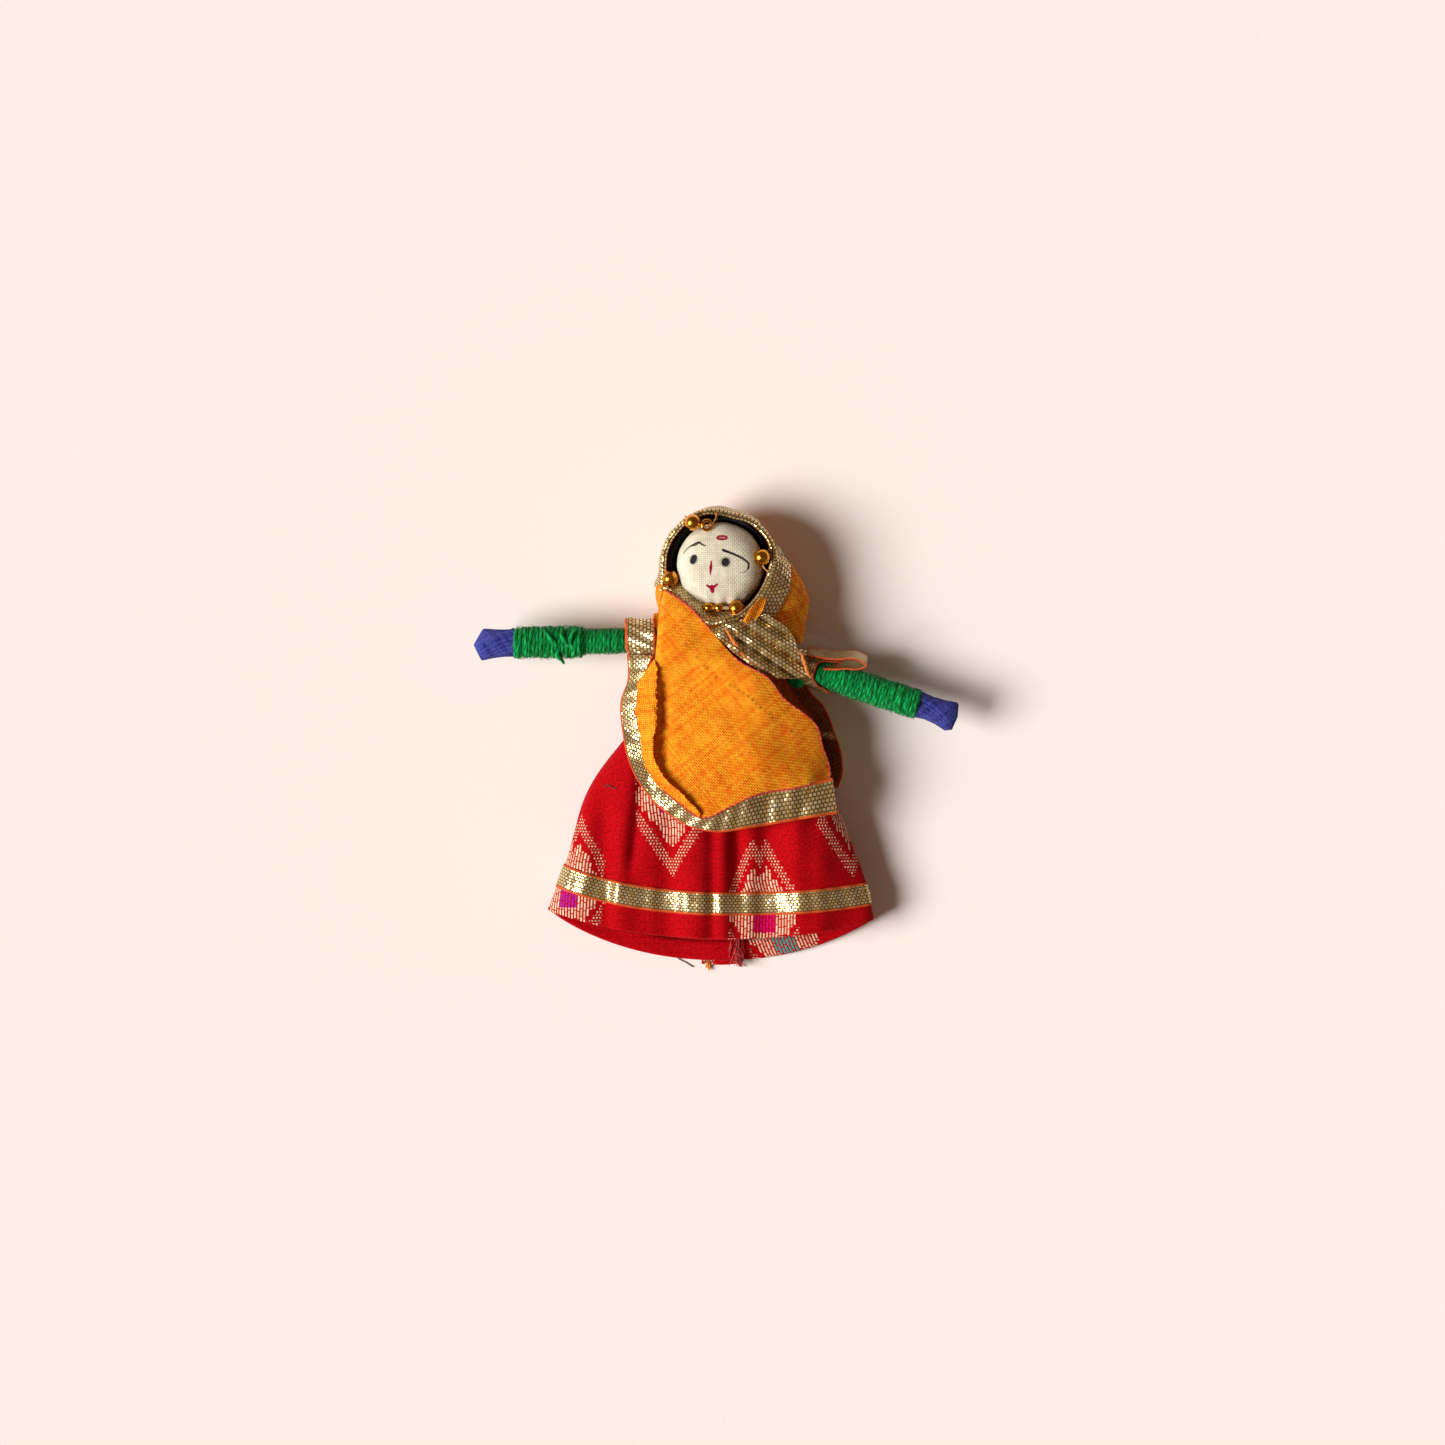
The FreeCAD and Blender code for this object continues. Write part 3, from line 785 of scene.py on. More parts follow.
def make_head():
    """Cotton-covered ball, a little flat in front (a superellipse), and the black cloth behind the face.

    The ball is a grid of circles round its front point, each at an equal turn past the last; its radius
    changes a little with wrinkles that grow towards the gathered neck."""
    dense, sparse = np.linspace(0.0, 1.25, 165), np.linspace(1.25, math.pi, 50)[1:]
    tilt = np.concatenate([dense, sparse])[:, None]
    turn = np.linspace(0, 2 * math.pi, 340, endpoint=False)[None, :]
    way = np.stack([np.sin(tilt) * np.cos(turn), np.sin(tilt) * np.sin(turn), np.cos(tilt) + 0 * turn], -1)
    gather = ease((-way[..., 1] - 0.45) / 0.5)
    angle = np.arctan2(way[..., 2], way[..., 0])
    radius = (
        HEAD_RADIUS + 0.22 * gather * np.sin(17 * angle) + 0.05 * ripple(way[..., 0], way[..., 1], 0.5, 3)
    )
    power = 3.3
    flat = (np.sin(tilt) ** power + np.abs(np.cos(tilt)) ** power) ** (-1 / power)
    radius = radius * np.where(np.cos(tilt) > 0, flat * 0.975, 0.975)
    grid = HEAD + way * radius[..., None]
    x, y = grid[..., 0] - HEAD[0], grid[..., 1] - HEAD[1]

    black, red = painted(x, y, BLACK_STROKES), painted(x, y, RED_STROKES)
    front = way[..., 2] > 0
    round_front = np.linspace(0, 2 * math.pi, 341)[None, :]
    uv = np.stack([tilt * np.cos(round_front), tilt * np.sin(round_front)], -1) * HEAD_RADIUS
    head = piece(
        "head_cotton", [patch(grid, True, uv)], face_cotton("painted_cotton", colours()), closed=True,
        values={"black": np.where(front, black, 0), "red": np.where(front, red, 0)},
    )
    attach(head, "head")
    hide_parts("head_cover")

    steps = np.linspace(0, 1, 60)[:, None]
    turn = np.linspace(0, 2 * math.pi, 200, endpoint=False)[None, :]
    front_edge = 1.34 - 0.14 * np.cos(turn - 1.0) + 0.02 * np.sin(9 * turn)
    tilt = front_edge + (math.pi - front_edge) * steps
    way = np.stack([np.sin(tilt) * np.cos(turn), np.sin(tilt) * np.sin(turn), np.cos(tilt)], -1)
    radius = 9.78 + 0.12 * ripple(way[..., 0] * 9, way[..., 1] * 9, 5.0, 5)
    radius = radius + (0.75 + 0.5 * np.sin(turn)) * (1 - ease(steps / 0.12))
    hair = piece(
        "hair_cap", [patch(HEAD + way * radius[..., None], True)], black_cloth("black_cloth"), closed=True,
        thickness=0.25,
    )
    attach(hair, "head")
    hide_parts("hair_cloth")


# ---------------------------------------------------------------- hood
RIM = [
    (-12.2, 25.3, 15.6), (-12.1, 28.0, 15.0), (-11.4, 31.1, 14.6), (-11.4, 34.2, 14.4), (-10.8, 39.5, 14.2),
    (-8.2, 43.6, 15.0), (-5.7, 45.7, 15.7), (-2.1, 46.9, 15.7), (0.0, 46.8, 15.4), (3.5, 46.0, 14.9),
    (6.4, 45.2, 14.7), (9.1, 43.1, 14.9), (11.0, 40.4, 15.7), (11.4, 37.4, 16.5), (10.8, 34.0, 16.8),
    (9.6, 31.0, 17.3), (7.4, 27.8, 18.2), (4.3, 25.2, 19.3), (0.6, 24.1, 20.0),
]
REACH = [
    (-1.3, 11.5), (-1.0, 19.5), (-0.75, 22.6), (-0.61, 21.3), (-0.49, 20.6), (-0.37, 19.7), (-0.23, 18.0),
    (-0.07, 15.6), (0.14, 13.4), (0.47, 11.9), (0.74, 11.7), (1.64, 11.8), (2.5, 11.9), (3.26, 12.5),
    (3.9, 16.4),
]


def hood_sheet(first, last, columns, rows, depth=1.0):
    """The veil round the head, from its rim to the middle of the back.

    Seen from the front, each line runs straight out from the head's middle. Seen from the side it is an
    ellipse: radius = reach * cos(a), height = middle + rise * sin(a), with a from the rim's angle to -90."""
    t = np.linspace(first, last, columns)
    rim = through(RIM, t)
    out = rim[:, :2] - HEAD[:2]
    near = np.linalg.norm(out, axis=1)
    angle = np.arctan2(out[:, 1], out[:, 0])
    angle = np.where(angle < -1.4, angle + 2 * math.pi, angle)
    far = np.interp(angle, *np.array(REACH).T)
    far = np.maximum(far, near * 1.012)
    start = np.arccos(near / far)
    a = start + (-math.pi / 2 - start) * (np.linspace(0, 1, rows)[:, None] ** 1.15) * depth
    bulge = ease((far - 12.5) / 6.0)
    middle = 10.0 - 2.2 * bulge
    up = (rim[:, 2] - middle) / np.sin(start)
    down = middle - 0.45
    z = middle + np.where(a > 0, up * np.sin(a), down * np.sin(a))
    radius = far * np.cos(a)
    way = out / near[:, None]
    folds = ripple(angle[None] * 9 + 0 * a, a * 4, 5.0, 11) * 0.5 + np.sin(angle[None] * 13 + a * 1.5) * 0.22
    strength = ease((np.linspace(0, 1, rows)[:, None]) / 0.12) * (0.25 + 0.75 * bulge) * ease((z - 0.6) / 3.0)
    radius = radius + folds * strength
    return np.concatenate([HEAD[:2] + radius[..., None] * way, z[..., None]], -1)


def outward(grid, centre):
    """The unit normal at each point of a grid, on the side away from a centre."""
    out = normals(grid)
    return out * np.sign(((grid - centre) * out).sum(-1).mean())


def along_lines(grid, lengths):
    """Points at set distances down each column of a grid."""
    step = np.linalg.norm(np.diff(grid, axis=0), axis=-1)
    run = np.concatenate([np.zeros((1, grid.shape[1])), np.cumsum(step, axis=0)])
    columns = [
        np.stack(
            [np.interp(lengths, run[:, i], grid[:, i, k]) for k in range(3)], -1
        ) for i in range(grid.shape[1])
    ]
    return np.stack(columns, 1)


def run_of(line):
    """Distance from a line's start to each of its points."""
    return np.concatenate([[0], np.cumsum(np.linalg.norm(np.diff(line, axis=0), axis=-1))])


def ribbon_uv(grid):
    """U is the distance along a ribbon's middle; V runs across, from 0 to the ribbon's width."""
    width = sizes().ribbon
    u = run_of(grid[grid.shape[0] // 2])
    v = np.linspace(0.001, width - 0.001, grid.shape[0])
    return np.stack(np.meshgrid(u, v), -1)


def blend_to_head(made):
    """Bakes the piece's placement into its points."""
    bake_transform(made)


def make_hood():
    """Hood cloth, its rim ribbon, the ribbon and roll under the chin, a fold and the beads' stitches.

    The rim ribbon is the hood's surface raised by a rippled height, with a lip that turns in to the face. The
    neck ribbon is a straight band carried along the neck's edge, and the fold a patch between four edges."""
    s = sizes()
    cloth = hood_sheet(0.0, 0.86, 300, 110)
    hood = piece(
        "veil_hood_cloth", [patch(cloth)], veil_cloth("veil_voile", 32), closed=True, thickness=s.cloth
    )
    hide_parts("veil_hood")
    blend_to_head(hood)

    t_ear = 0.105
    base = hood_sheet(t_ear, 1.0, 420, 260)
    strip = along_lines(base, np.linspace(0, s.ribbon, 15))
    run = run_of(strip[0])[None]
    wave = 0.1 * np.sin(run * 1.3) + 0.12 * ripple(run, 0 * strip[..., 0], 3.0, 8)
    strip = strip + outward(strip, HEAD) * (np.abs(wave) + 0.36)[..., None]
    strip[..., 2] += 0.12 * np.sin(run * 2.3) * (1 - np.linspace(0, 1, 15)[:, None])
    rim = base[0] + (0, 0, 1.0) * (0.05 * np.sin(run * 2.3)[0])[:, None]
    towards = HEAD[:2] - rim[:, :2]
    towards = np.concatenate([towards / np.linalg.norm(towards, axis=1)[:, None], np.zeros((len(rim), 1))], 1)
    lip = [
        rim + towards * 0.5 + (0, 0, -0.3), rim + towards * 0.4 + (0, 0, 0.15),
        rim + towards * 0.05 + (0, 0, 0.4),
    ]
    strip = np.concatenate([np.stack(lip), strip[1:]], 0)
    ribbon = piece(
        "hood_rim_ribbon", [patch(strip, uv=ribbon_uv(strip))],
        gold_ribbon("gold_ribbon", colours(), s.ribbon, 0.1, 2.6), thickness=0.3,
    )
    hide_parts("veil_hood_ribbon")
    blend_to_head(ribbon)

    edge = through(
        [
            (-12.0, 30.6, 15.2), (-11.2, 31.0, 15.4), (-8.0, 29.0, 17.2), (-4.6, 26.1, 18.9),
            (-1.4, 23.6, 20.0), (1.2, 24.0, 20.4), (4.3, 24.6, 19.8),
        ],
        np.linspace(0, 1, 160),
    )
    q = np.linspace(0, 1, 13)[:, None, None]
    inwards = np.array([0.3, 0.5, -0.81]) * s.ribbon
    band = edge[None] + q * inwards + (0, 0, 0.12) * np.sin(run_of(edge) * 2.1)[None, :, None]
    band[..., 0:2] += (0.9 * q * (1 - q)) * np.array([0.3, 0.5])
    neck = piece(
        "hood_neck_ribbon", [patch(band, uv=ribbon_uv(band))],
        gold_ribbon("gold_ribbon_neck", colours(), s.ribbon, 0.1, 2.6), thickness=0.25,
    )
    blend_to_head(neck)
    run = run_of(edge)
    roll = tube(edge + (0, 0, 0.15), 0.34 + 0.1 * ripple(run, 0 * run, 1.0, 9), 12)
    around = np.stack(np.meshgrid(np.linspace(0.3, 2.4, 13), np.pad(run, 1, mode="edge")), -1)[..., ::-1]
    rolled = piece(
        "hood_neck_roll", [patch(roll, True, uv=around, ends=True)],
        gold_ribbon("gold_ribbon_roll", colours(), s.ribbon, 0.01, 2.6),
    )
    blend_to_head(rolled)

    flap = between(
        [(5.2, 24.2, 20.1), (6.2, 23.5, 20.1), (7.4, 23.7, 19.6)],
        [(9.0, 29.3, 18.1), (9.6, 29.7, 17.9), (10.2, 29.2, 17.7)],
        [(5.2, 24.2, 20.1), (6.9, 26.9, 19.4), (9.0, 29.3, 18.1)],
        [(7.4, 23.7, 19.6), (9.2, 26.2, 18.7), (10.2, 29.2, 17.7)], 40, 60,
    )
    flap[..., 2] += 0.3 * np.sin(flap[..., 0] * 1.9 - flap[..., 1] * 0.9) + 0.1
    tongue = piece(
        "hood_cloth_fold", [patch(flap, uv=flap[..., :2])], veil_cloth("veil_voile_fold", 20),
        thickness=s.cloth,
    )
    blend_to_head(tongue)

    t = np.linspace(0, 1, 40)
    stitches = [
        [
            (-6.9, 46.0, 15.9), (-5.2, 44.6, 17.4), (-3.2, 44.0, 18.1), (-1.6, 44.1, 18.0),
            (-0.5, 45.3, 17.0), (-0.2, 46.8, 15.8),
        ],
        [(10.7, 39.0, 16.6), (9.1, 37.4, 17.6), (9.5, 35.3, 17.4), (10.4, 34.4, 17.2)],
        [(-11.0, 35.0, 14.8), (-9.9, 33.0, 14.9), (-10.5, 31.2, 15.4), (-11.2, 30.4, 15.0)],
    ]
    tubes = [strand(through(line, t), 0.17) for line in stitches]
    sewn = piece(
        "bead_stitches", tubes, thread("bead_thread", rgb(236, 170, 84), rgb(170, 96, 30)), closed=True
    )
    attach(sewn, "head")


# ---------------------------------------------------------------- veil over the chest
PANEL_LEFT = [(-15.2, -6.0), (-14.4, 4.0), (-13.4, 13.0), (-12.6, 20.0), (-12.2, 25.5), (-11.4, 31.1)]
PANEL_FOOT = [
    (-15.2, -6.0), (-12.8, -9.5), (-8.0, -13.6), (-3.2, -16.6), (2.7, -14.2), (7.9, -11.8), (16.6, -10.3),
    (23.4, -8.6),
]
PANEL_RIGHT = [
    (23.4, -8.6), (23.1, -5.9), (21.7, -1.8), (20.5, 2.4), (17.9, 4.9), (13.8, 8.0), (10.5, 12.2),
    (4.4, 15.8), (-1.6, 22.4),
]
PANEL_HEAD = [(-11.4, 31.1), (-8.0, 29.0), (-4.6, 26.0), (-1.6, 22.4)]
STRIP_OUTER = [
    (-13.2, 16.3), (-16.6, 11.4), (-17.3, 6.2), (-17.0, 3.9), (-16.4, -0.1), (-14.5, -7.2), (-9.3, -11.2),
    (-7.0, -14.5), (-3.8, -16.8),
]
STRIP_INNER = [
    (-12.6, 14.5), (-12.7, 9.3), (-12.6, 4.5), (-13.2, -3.9), (-11.2, -8.0), (-7.4, -11.6), (-3.6, -15.6)
]

BORDER_OUTER = [
    (-18.9, 17.3), (-18.7, 12.2), (-20.2, 7.3), (-20.2, 4.0), (-19.8, 1.0), (-18.8, -4.2), (-15.3, -11.0),
    (-9.4, -16.5), (-5.3, -18.6), (-1.1, -19.5), (7.9, -18.5), (18.3, -16.8), (24.8, -15.8),
]
BORDER_INNER = [
    (-13.4, 17.0), (-15.6, 11.4), (-16.3, 6.2), (-16.2, 3.9), (-15.6, -0.1), (-13.7, -6.6), (-8.8, -11.0),
    (-6.0, -14.0), (-3.2, -15.9), (2.7, -13.9), (7.9, -11.5), (16.6, -10.0), (23.8, -8.3),
]


def chest(x, y):
    """Height of the veil: a tent whose ridge runs down the panel's right half, steeper on the right.

    The slope is the log of a hyperbolic cosine, so the ridge is round. Near the neck the tent gives way to a
    square-law arch. A hem band at the foot lifts again on the right; a groove runs by the turned edge."""
    arch = 19.7 - np.where(x < -6.0, ((x + 6.0) / 5.4) ** 2, ((x + 6.0) / 9.7) ** 2) - 0.034 * (22 - y)
    ridge = 8.8 - 1.3 * ease((2 - y) / 6)
    away = (x - ridge) / 2.2
    tent = 20.7 - 0.63 * np.log(np.cosh(away)) * (1 - 0.25 * ease((-6 - y) / 8)) - 0.1 * (x - ridge)
    tent = tent - 0.04 * np.maximum(x - 18, 0) ** 2
    below = ease((20 - y) / 8)
    z = arch * (1 - below) + (tent - 0.02 * (22 - y)) * below
    hem_line = -5.6 - 0.38 * (23.5 - x)
    rise = (
        1.3 * ease((x - 10) / 7) * (1 - ease((x - 18) / 5)) - 0.7 * hump(x, 9.0, 1.5)
        - 0.9 * ease((x - 1.0) / 5.0)
    )
    z = z + rise * ease((hem_line + 1.0 - y) / 3.5)
    z = z - 0.8 * hump(x, -11.2, 1.5) * ease((14 - y) / 4) * ease((y + 8) / 4)
    z = z + 0.38 * ripple(x, y, 15.0, 21) + 0.12 * ripple(x, y, 6.0, 22)
    floor = 14.4 + 1.7 * ease((-1 - y) / 8) * (1 - ease((x - 9) / 11)) + 0.12 * ripple(x, y, 5.0, 23)
    floor = floor - 2.6 * ease((x - 11) / 11) * (1 - 0.8 * ease((-3 - y) / 7))
    return floor + 0.6 * np.logaddexp(0, (z - floor) / 0.6)


def flat_curve(points):
    """An outline on the table, as points in space."""
    return [(x, y, 0.0) for x, y in points]


def stitch_marks(x, y):
    """Needle holes along a line where the cloth was once sewn, and a few specks."""
    line = through([(-6.5, 19.4), (-0.6, 12.9), (5.7, 9.1), (12.4, 3.4), (19.0, -0.9)], np.linspace(0, 1, 30))
    source = seeded(5)
    line = line + source.normal(0, 0.12, line.shape)
    weight = source.uniform(0.1, 1.0, 30) ** 1.5
    specks = source.uniform((-11, -12), (20, 24), (16, 2))
    marks = np.zeros(x.shape)
    for (px, py), w in zip(line, weight):
        marks = np.maximum(marks, w * np.exp(-((x - px) ** 2 + (y - py) ** 2) / 0.075))
    for px, py in specks:
        marks = np.maximum(marks, 0.5 * np.exp(-((x - px) ** 2 + (y - py) ** 2) / 0.04))
    return marks


def edge_thread(name, line, radius, finish, body, seed):
    """An overlocked or frayed thread that wanders a little about a line."""
    wander = [ripple(run_of(line), 0 * line[:, 0], 1.2, seed + k) for k in range(3)]
    path = np.asarray(line) + 0.07 * np.stack(wander, -1)
    made = piece(name, [strand(path, radius, 6)], finish, closed=True)
    if body:
        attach(made, body)
    return made


def make_veil():
    """Front panel with its collar, turned edge, gold ribbons and the layer under the back.

    The panel and the bunch of ribbon are patches between four edges on the table, raised by chest() and by
    pleats. The turned edge and the border are bands between two lines, raised by chest() and a curl."""
    s, c = sizes(), colours()
    orange = veil_cloth("veil_voile_bias", 38)
    gold = gold_ribbon("gold_ribbon_veil", c, s.ribbon)
    pink = thread("overlock_thread", c.pink, rgb(160, 26, 30))

    flat = between(
        flat_curve(PANEL_FOOT), flat_curve(PANEL_HEAD), flat_curve(PANEL_LEFT), flat_curve(PANEL_RIGHT), 210,
        250,
    )
    x, y = flat[..., 0], flat[..., 1]
    u = np.linspace(0, 1, 210)[None]
    v = np.linspace(0, 1, 250)[:, None]
    turned_down = (1 - ease(u / 0.07)) * (0.5 + 2.2 * ease((y - 24.5) / 2.0)) * ease((y - 10) / 5)
    lift = 0.35 * ease((v - 0.9) / 0.1) * (1 - u)
    z = chest(x, y) - turned_down - 2.9 * ease((y - 25.5) / 6.0) + lift
    grid = np.stack([x, y, z], -1)
    uv = grid[..., :2]
    marks = stitch_marks(x, y)
    cut = 205  # the rows above this one are the collar, made as a piece of its own
    panel = piece(
        "veil_front", [patch(grid[: cut + 1], uv=uv[: cut + 1])], orange, thickness=s.cloth,
        values={"mark": marks[: cut + 1]},
    )
    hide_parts("veil_front_drape")
    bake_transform(panel)
    collar = piece(
        "veil_collar", [patch(grid[cut:], uv=uv[cut:])], orange, thickness=s.cloth,
        values={"mark": marks[cut:]},
    )
    blend_to_head(collar)

    steps = np.linspace(0, 1, 260)
    outer, inner = through(STRIP_OUTER, steps), through(STRIP_INNER, steps)
    q = np.linspace(0, 1, 40)[:, None]
    fray = 0.22 * ripple(np.linspace(0, 40, 260)[None], 0 * q, 1.3, 31) * q**8
    xy = outer[None] * (1 - q[..., None]) + inner[None] * q[..., None]
    x, y = xy[..., 0] + fray, xy[..., 1]
    ends = np.sin(np.linspace(0, math.pi, 260))[None] ** 0.5
    z = (
        chest(x, y) + 0.55 + 1.6 * hump(q, 1.0, 0.35) * ends - 1.5 * (1 - q) ** 4
        + 0.4 * ripple(x, y, 3.0, 33) * q
    )
    z = np.maximum(z, 14.9)
    turned = np.stack([x, y, z], -1)[::-1]
    strip = piece(
        "veil_turned_edge", [patch(turned, uv=turned[..., :2])], veil_cloth("veil_voile_straight", 4),
        thickness=s.cloth,
    )
    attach(strip, "torso")
    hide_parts("veil_side_fold")

    steps = np.linspace(0, 1, 420)
    low, high = through(BORDER_OUTER, steps), through(BORDER_INNER, steps)
    q = np.linspace(0, 1, 15)[:, None, None]
    xy = low[None] * (1 - q) + high[None] * q
    run = run_of(xy[7])[None]
    z = chest(xy[..., 0], xy[..., 1]) - 0.42 + 0.16 * np.sin(run * 0.75 + 1.0) + 0.1 * np.sin(run * 1.9)
    z = z - (0.8 + 1.3 * ease((-12 - xy[..., 0]) / 3)) * (1 - q[..., 0]) ** 1.5
    lap = 16.1 + 0.35 * ease((xy[..., 0] - 2) / 5) - 1.6 * ease((xy[..., 0] - 19.0) / 7)
    beside = 13.3 + 1.6 * ease((4.0 - xy[..., 1]) / 6) + q[..., 0]
    in_lap = ease((-2.5 - xy[..., 1]) / 6)
    floor = beside * (1 - in_lap) + lap * in_lap + 0.14 * np.sin(run * 1.1)
    side = np.concatenate([xy, np.maximum(z, floor)[..., None]], -1)
    border = piece("veil_edge_ribbon", [patch(side, uv=ribbon_uv(side))], gold, thickness=0.22)
    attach(border, "torso")
    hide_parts("veil_side_ribbon", "veil_lower_ribbon")

    flat = between(
        [(12.2, 12.4, 0), (15.5, 12.2, 0), (19.4, 12.8, 0)],
        [(-1.6, 22.3, 0), (4.0, 24.2, 0), (10.2, 25.6, 0)],
        [(12.2, 12.4, 0), (8.6, 13.9, 0), (3.6, 17.4, 0), (-1.6, 22.3, 0)],
        [(19.4, 12.8, 0), (17.0, 17.0, 0), (15.3, 21.5, 0), (10.2, 25.6, 0)],
        120, 160,
    )
    x, y = flat[..., 0], flat[..., 1]
    across = (x * 0.56 + y * 0.83) - 17.0
    along = x * 0.83 - y * 0.56
    pleat_pitch = 3.1
    pleat = np.abs(((across / pleat_pitch + 0.2) % 1.0) - 0.35)
    z = (
        20.1 - ((x + 2.0) / 9.6) ** 2 + (0.9 - 2.4 * pleat) * ease((x - 0.5) / 4)
        + 0.3 * ripple(x, y, 4.0, 41)
    )
    chest_grid = np.stack([x, y, np.maximum(z, 15.2 + 0.1 * np.sin(across * 2))], -1)
    ten_widths = 52.0
    bunch = patch(chest_grid, uv=np.stack([along, across + ten_widths], -1))
    pleated_gold = gold_ribbon("gold_ribbon_fold", c, s.ribbon, 0.04)
    fold = piece("veil_chest_ribbon_fold", [bunch], pleated_gold, thickness=0.22)
    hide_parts("veil_chest_ribbon")
    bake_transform(fold)

    panel_edge = grid[: cut + 1, -1] + (0, 0, 0.12)
    edge_thread("panel_overlock", panel_edge, 0.17, pink, "torso", 51)
    seam = edge_thread("collar_overlock", grid[-3] + (0, 0, 0.2), 0.19, pink, None, 53)
    blend_to_head(seam)
    strip_edge = turned[-1] + (0, 0, 0.1)
    edge_thread("turned_edge_overlock", strip_edge, 0.16, pink, "torso", 55)
    foot = grid[0, 30:] + (0, 0, 0.16)
    edge_thread("foot_overlock", foot, 0.15, pink, "torso", 57)

    loose = thread("orange_thread", rgb(240, 146, 40), rgb(190, 88, 10))
    t = np.linspace(0, 1, 30)
    for name, body, points in (
        (
            "loose_thread_neck", "torso",
            [(1.6, 22.6, 20.9), (3.2, 20.0, 20.6), (5.0, 17.6, 20.0), (6.8, 15.0, 18.7)],
        ),
        (
            "loose_thread_shoulder", "left_shoulder",
            [(17.2, 17.6, 17.2), (18.0, 15.4, 17.0), (18.6, 13.6, 16.9), (19.2, 12.4, 16.2)],
        ),
    ):
        thick = 0.3 * np.sin(math.pi * (0.12 + 0.76 * t)) + 0.1
        edge_thread(name, through(points, t), thick, loose, body, 61)

    make_veil_back(gold)


def make_veil_back(gold):
    """The layer that the puppet lies on, with its free edge curling up beside the left arm."""
    s = sizes()
    flat = between(
        [(-13, -9.3, 0), (2, -9.6, 0), (22.0, -9.2, 0)], [(-13.5, 26, 0), (0, 29, 0), (14.0, 26, 0)],
        [(-13, -9.3, 0), (-16.5, 2, 0), (-14.5, 15, 0), (-13.5, 26, 0)],
        [(22.0, -9.2, 0), (22.5, 0, 0), (19.6, 8.5, 0), (14.0, 26, 0)],
        110, 110,
    )
    x, y = flat[..., 0], flat[..., 1]
    z = 0.35 + 0.2 * (1 + ripple(x, y, 9.0, 71)) + 3.2 * ease((x - 16.5) / 7) * ease((16 - y) / 10)
    back = np.stack([x, y, z], -1)
    sheet = piece(
        "veil_back", [patch(back, uv=back[..., :2])], veil_cloth("veil_voile_back", 10), thickness=s.cloth
    )
    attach(sheet, "torso")
    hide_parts("veil_back_layer")
    steps = np.linspace(0, 1, 160)
    low = through(
        [(25.0, -10.6), (26.0, -7.3), (25.8, -3.9), (24.2, 1.7), (22.1, 6.6), (19.3, 9.6), (17.4, 14.0)],
        steps
    )
    high = through(
        [(21.4, -9.0), (21.9, -6.0), (21.8, -2.0), (20.6, 2.6), (19.0, 5.6), (16.0, 8.6), (13.6, 13.0)], steps
    )
    q = np.linspace(0, 1, 13)[:, None, None]
    xy = low[None] * (1 - q) + high[None] * q
    run = run_of(xy[6])[None]
    curl = 6.0 + 3.6 * ease((3.0 - xy[..., 1]) / 7)
    z = (
        curl - (curl - 3.6) * q[..., 0] ** 1.1 + 0.35 * np.sin(run * 0.9)
        + 0.15 * ripple(run, xy[..., 0] * 0, 2.0, 75)
    )
    strip = np.concatenate([xy, z[..., None]], -1)[::-1]
    border = piece("veil_back_edge_ribbon", [patch(strip[::-1], uv=ribbon_uv(strip))], gold, thickness=0.22)
    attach(border, "torso")
    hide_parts("veil_back_ribbon")


# ---------------------------------------------------------------- strands
def threads(paths, radius, sides=3):
    """Many thin tubes at once. paths is (count, steps, 3); each tube narrows to a point at both ends."""
    count, steps, _ = paths.shape
    tangent = np.gradient(paths, axis=1)
    tangent /= np.maximum(np.linalg.norm(tangent, axis=-1, keepdims=True), 1e-9)
    side = np.cross(tangent, np.array([0.31, 0.17, 0.93]))
    side /= np.maximum(np.linalg.norm(side, axis=-1, keepdims=True), 1e-9)
    up = np.cross(side, tangent)
    angle = np.linspace(0, 2 * math.pi, sides, endpoint=False)
    thick = np.sin(np.linspace(0.0, math.pi, steps)) ** 0.4 * radius
    ring = np.cos(angle)[:, None] * side[:, :, None] + np.sin(angle)[:, None] * up[:, :, None]
    points = paths[:, :, None] + thick[None, :, None, None] * ring
    place = np.arange(count * steps * sides).reshape(count, steps, sides)
    place = np.concatenate([place, place[..., :1]], -1)
    quads = np.stack(
        [place[:, :-1, :-1], place[:, :-1, 1:], place[:, 1:, 1:], place[:, 1:, :-1]], -1
    ).reshape(-1, 4)
    u = np.broadcast_to(np.arange(steps, dtype=float)[None, :, None] * 0.3, (count, steps, sides + 1))
    v = (
        np.broadcast_to(np.linspace(0, 0.3, sides + 1), (count, steps, sides + 1))
        + np.arange(count)[:, None, None] * 0.37
    )
    uv = np.stack([u, v], -1)
    corner = np.stack([uv[:, :-1, :-1], uv[:, :-1, 1:], uv[:, 1:, 1:], uv[:, 1:, :-1]], 3).reshape(-1, 4, 2)
    return points.reshape(-1, 3), quads, corner


def winding(centre, wide, deep, first, last, turns, radius, seed=0):
    """Thread wound round an upright bar that runs along Y: a helix on an ellipse, a little uneven."""
    t = np.linspace(0, 1, int(turns * 30))
    angle = t * turns * 2 * math.pi
    loose = 1 + 0.04 * ripple(t * turns, 0 * t, 3.0, seed)
    x = centre[0] + wide * loose * np.cos(angle)
    z = centre[2] + deep * loose * np.sin(angle)
    y = first + (last - first) * (t + 0.06 / turns * ripple(t * turns, 0 * t, 2.0, seed + 1))
    return strand(np.stack([x, y, z], -1), radius)


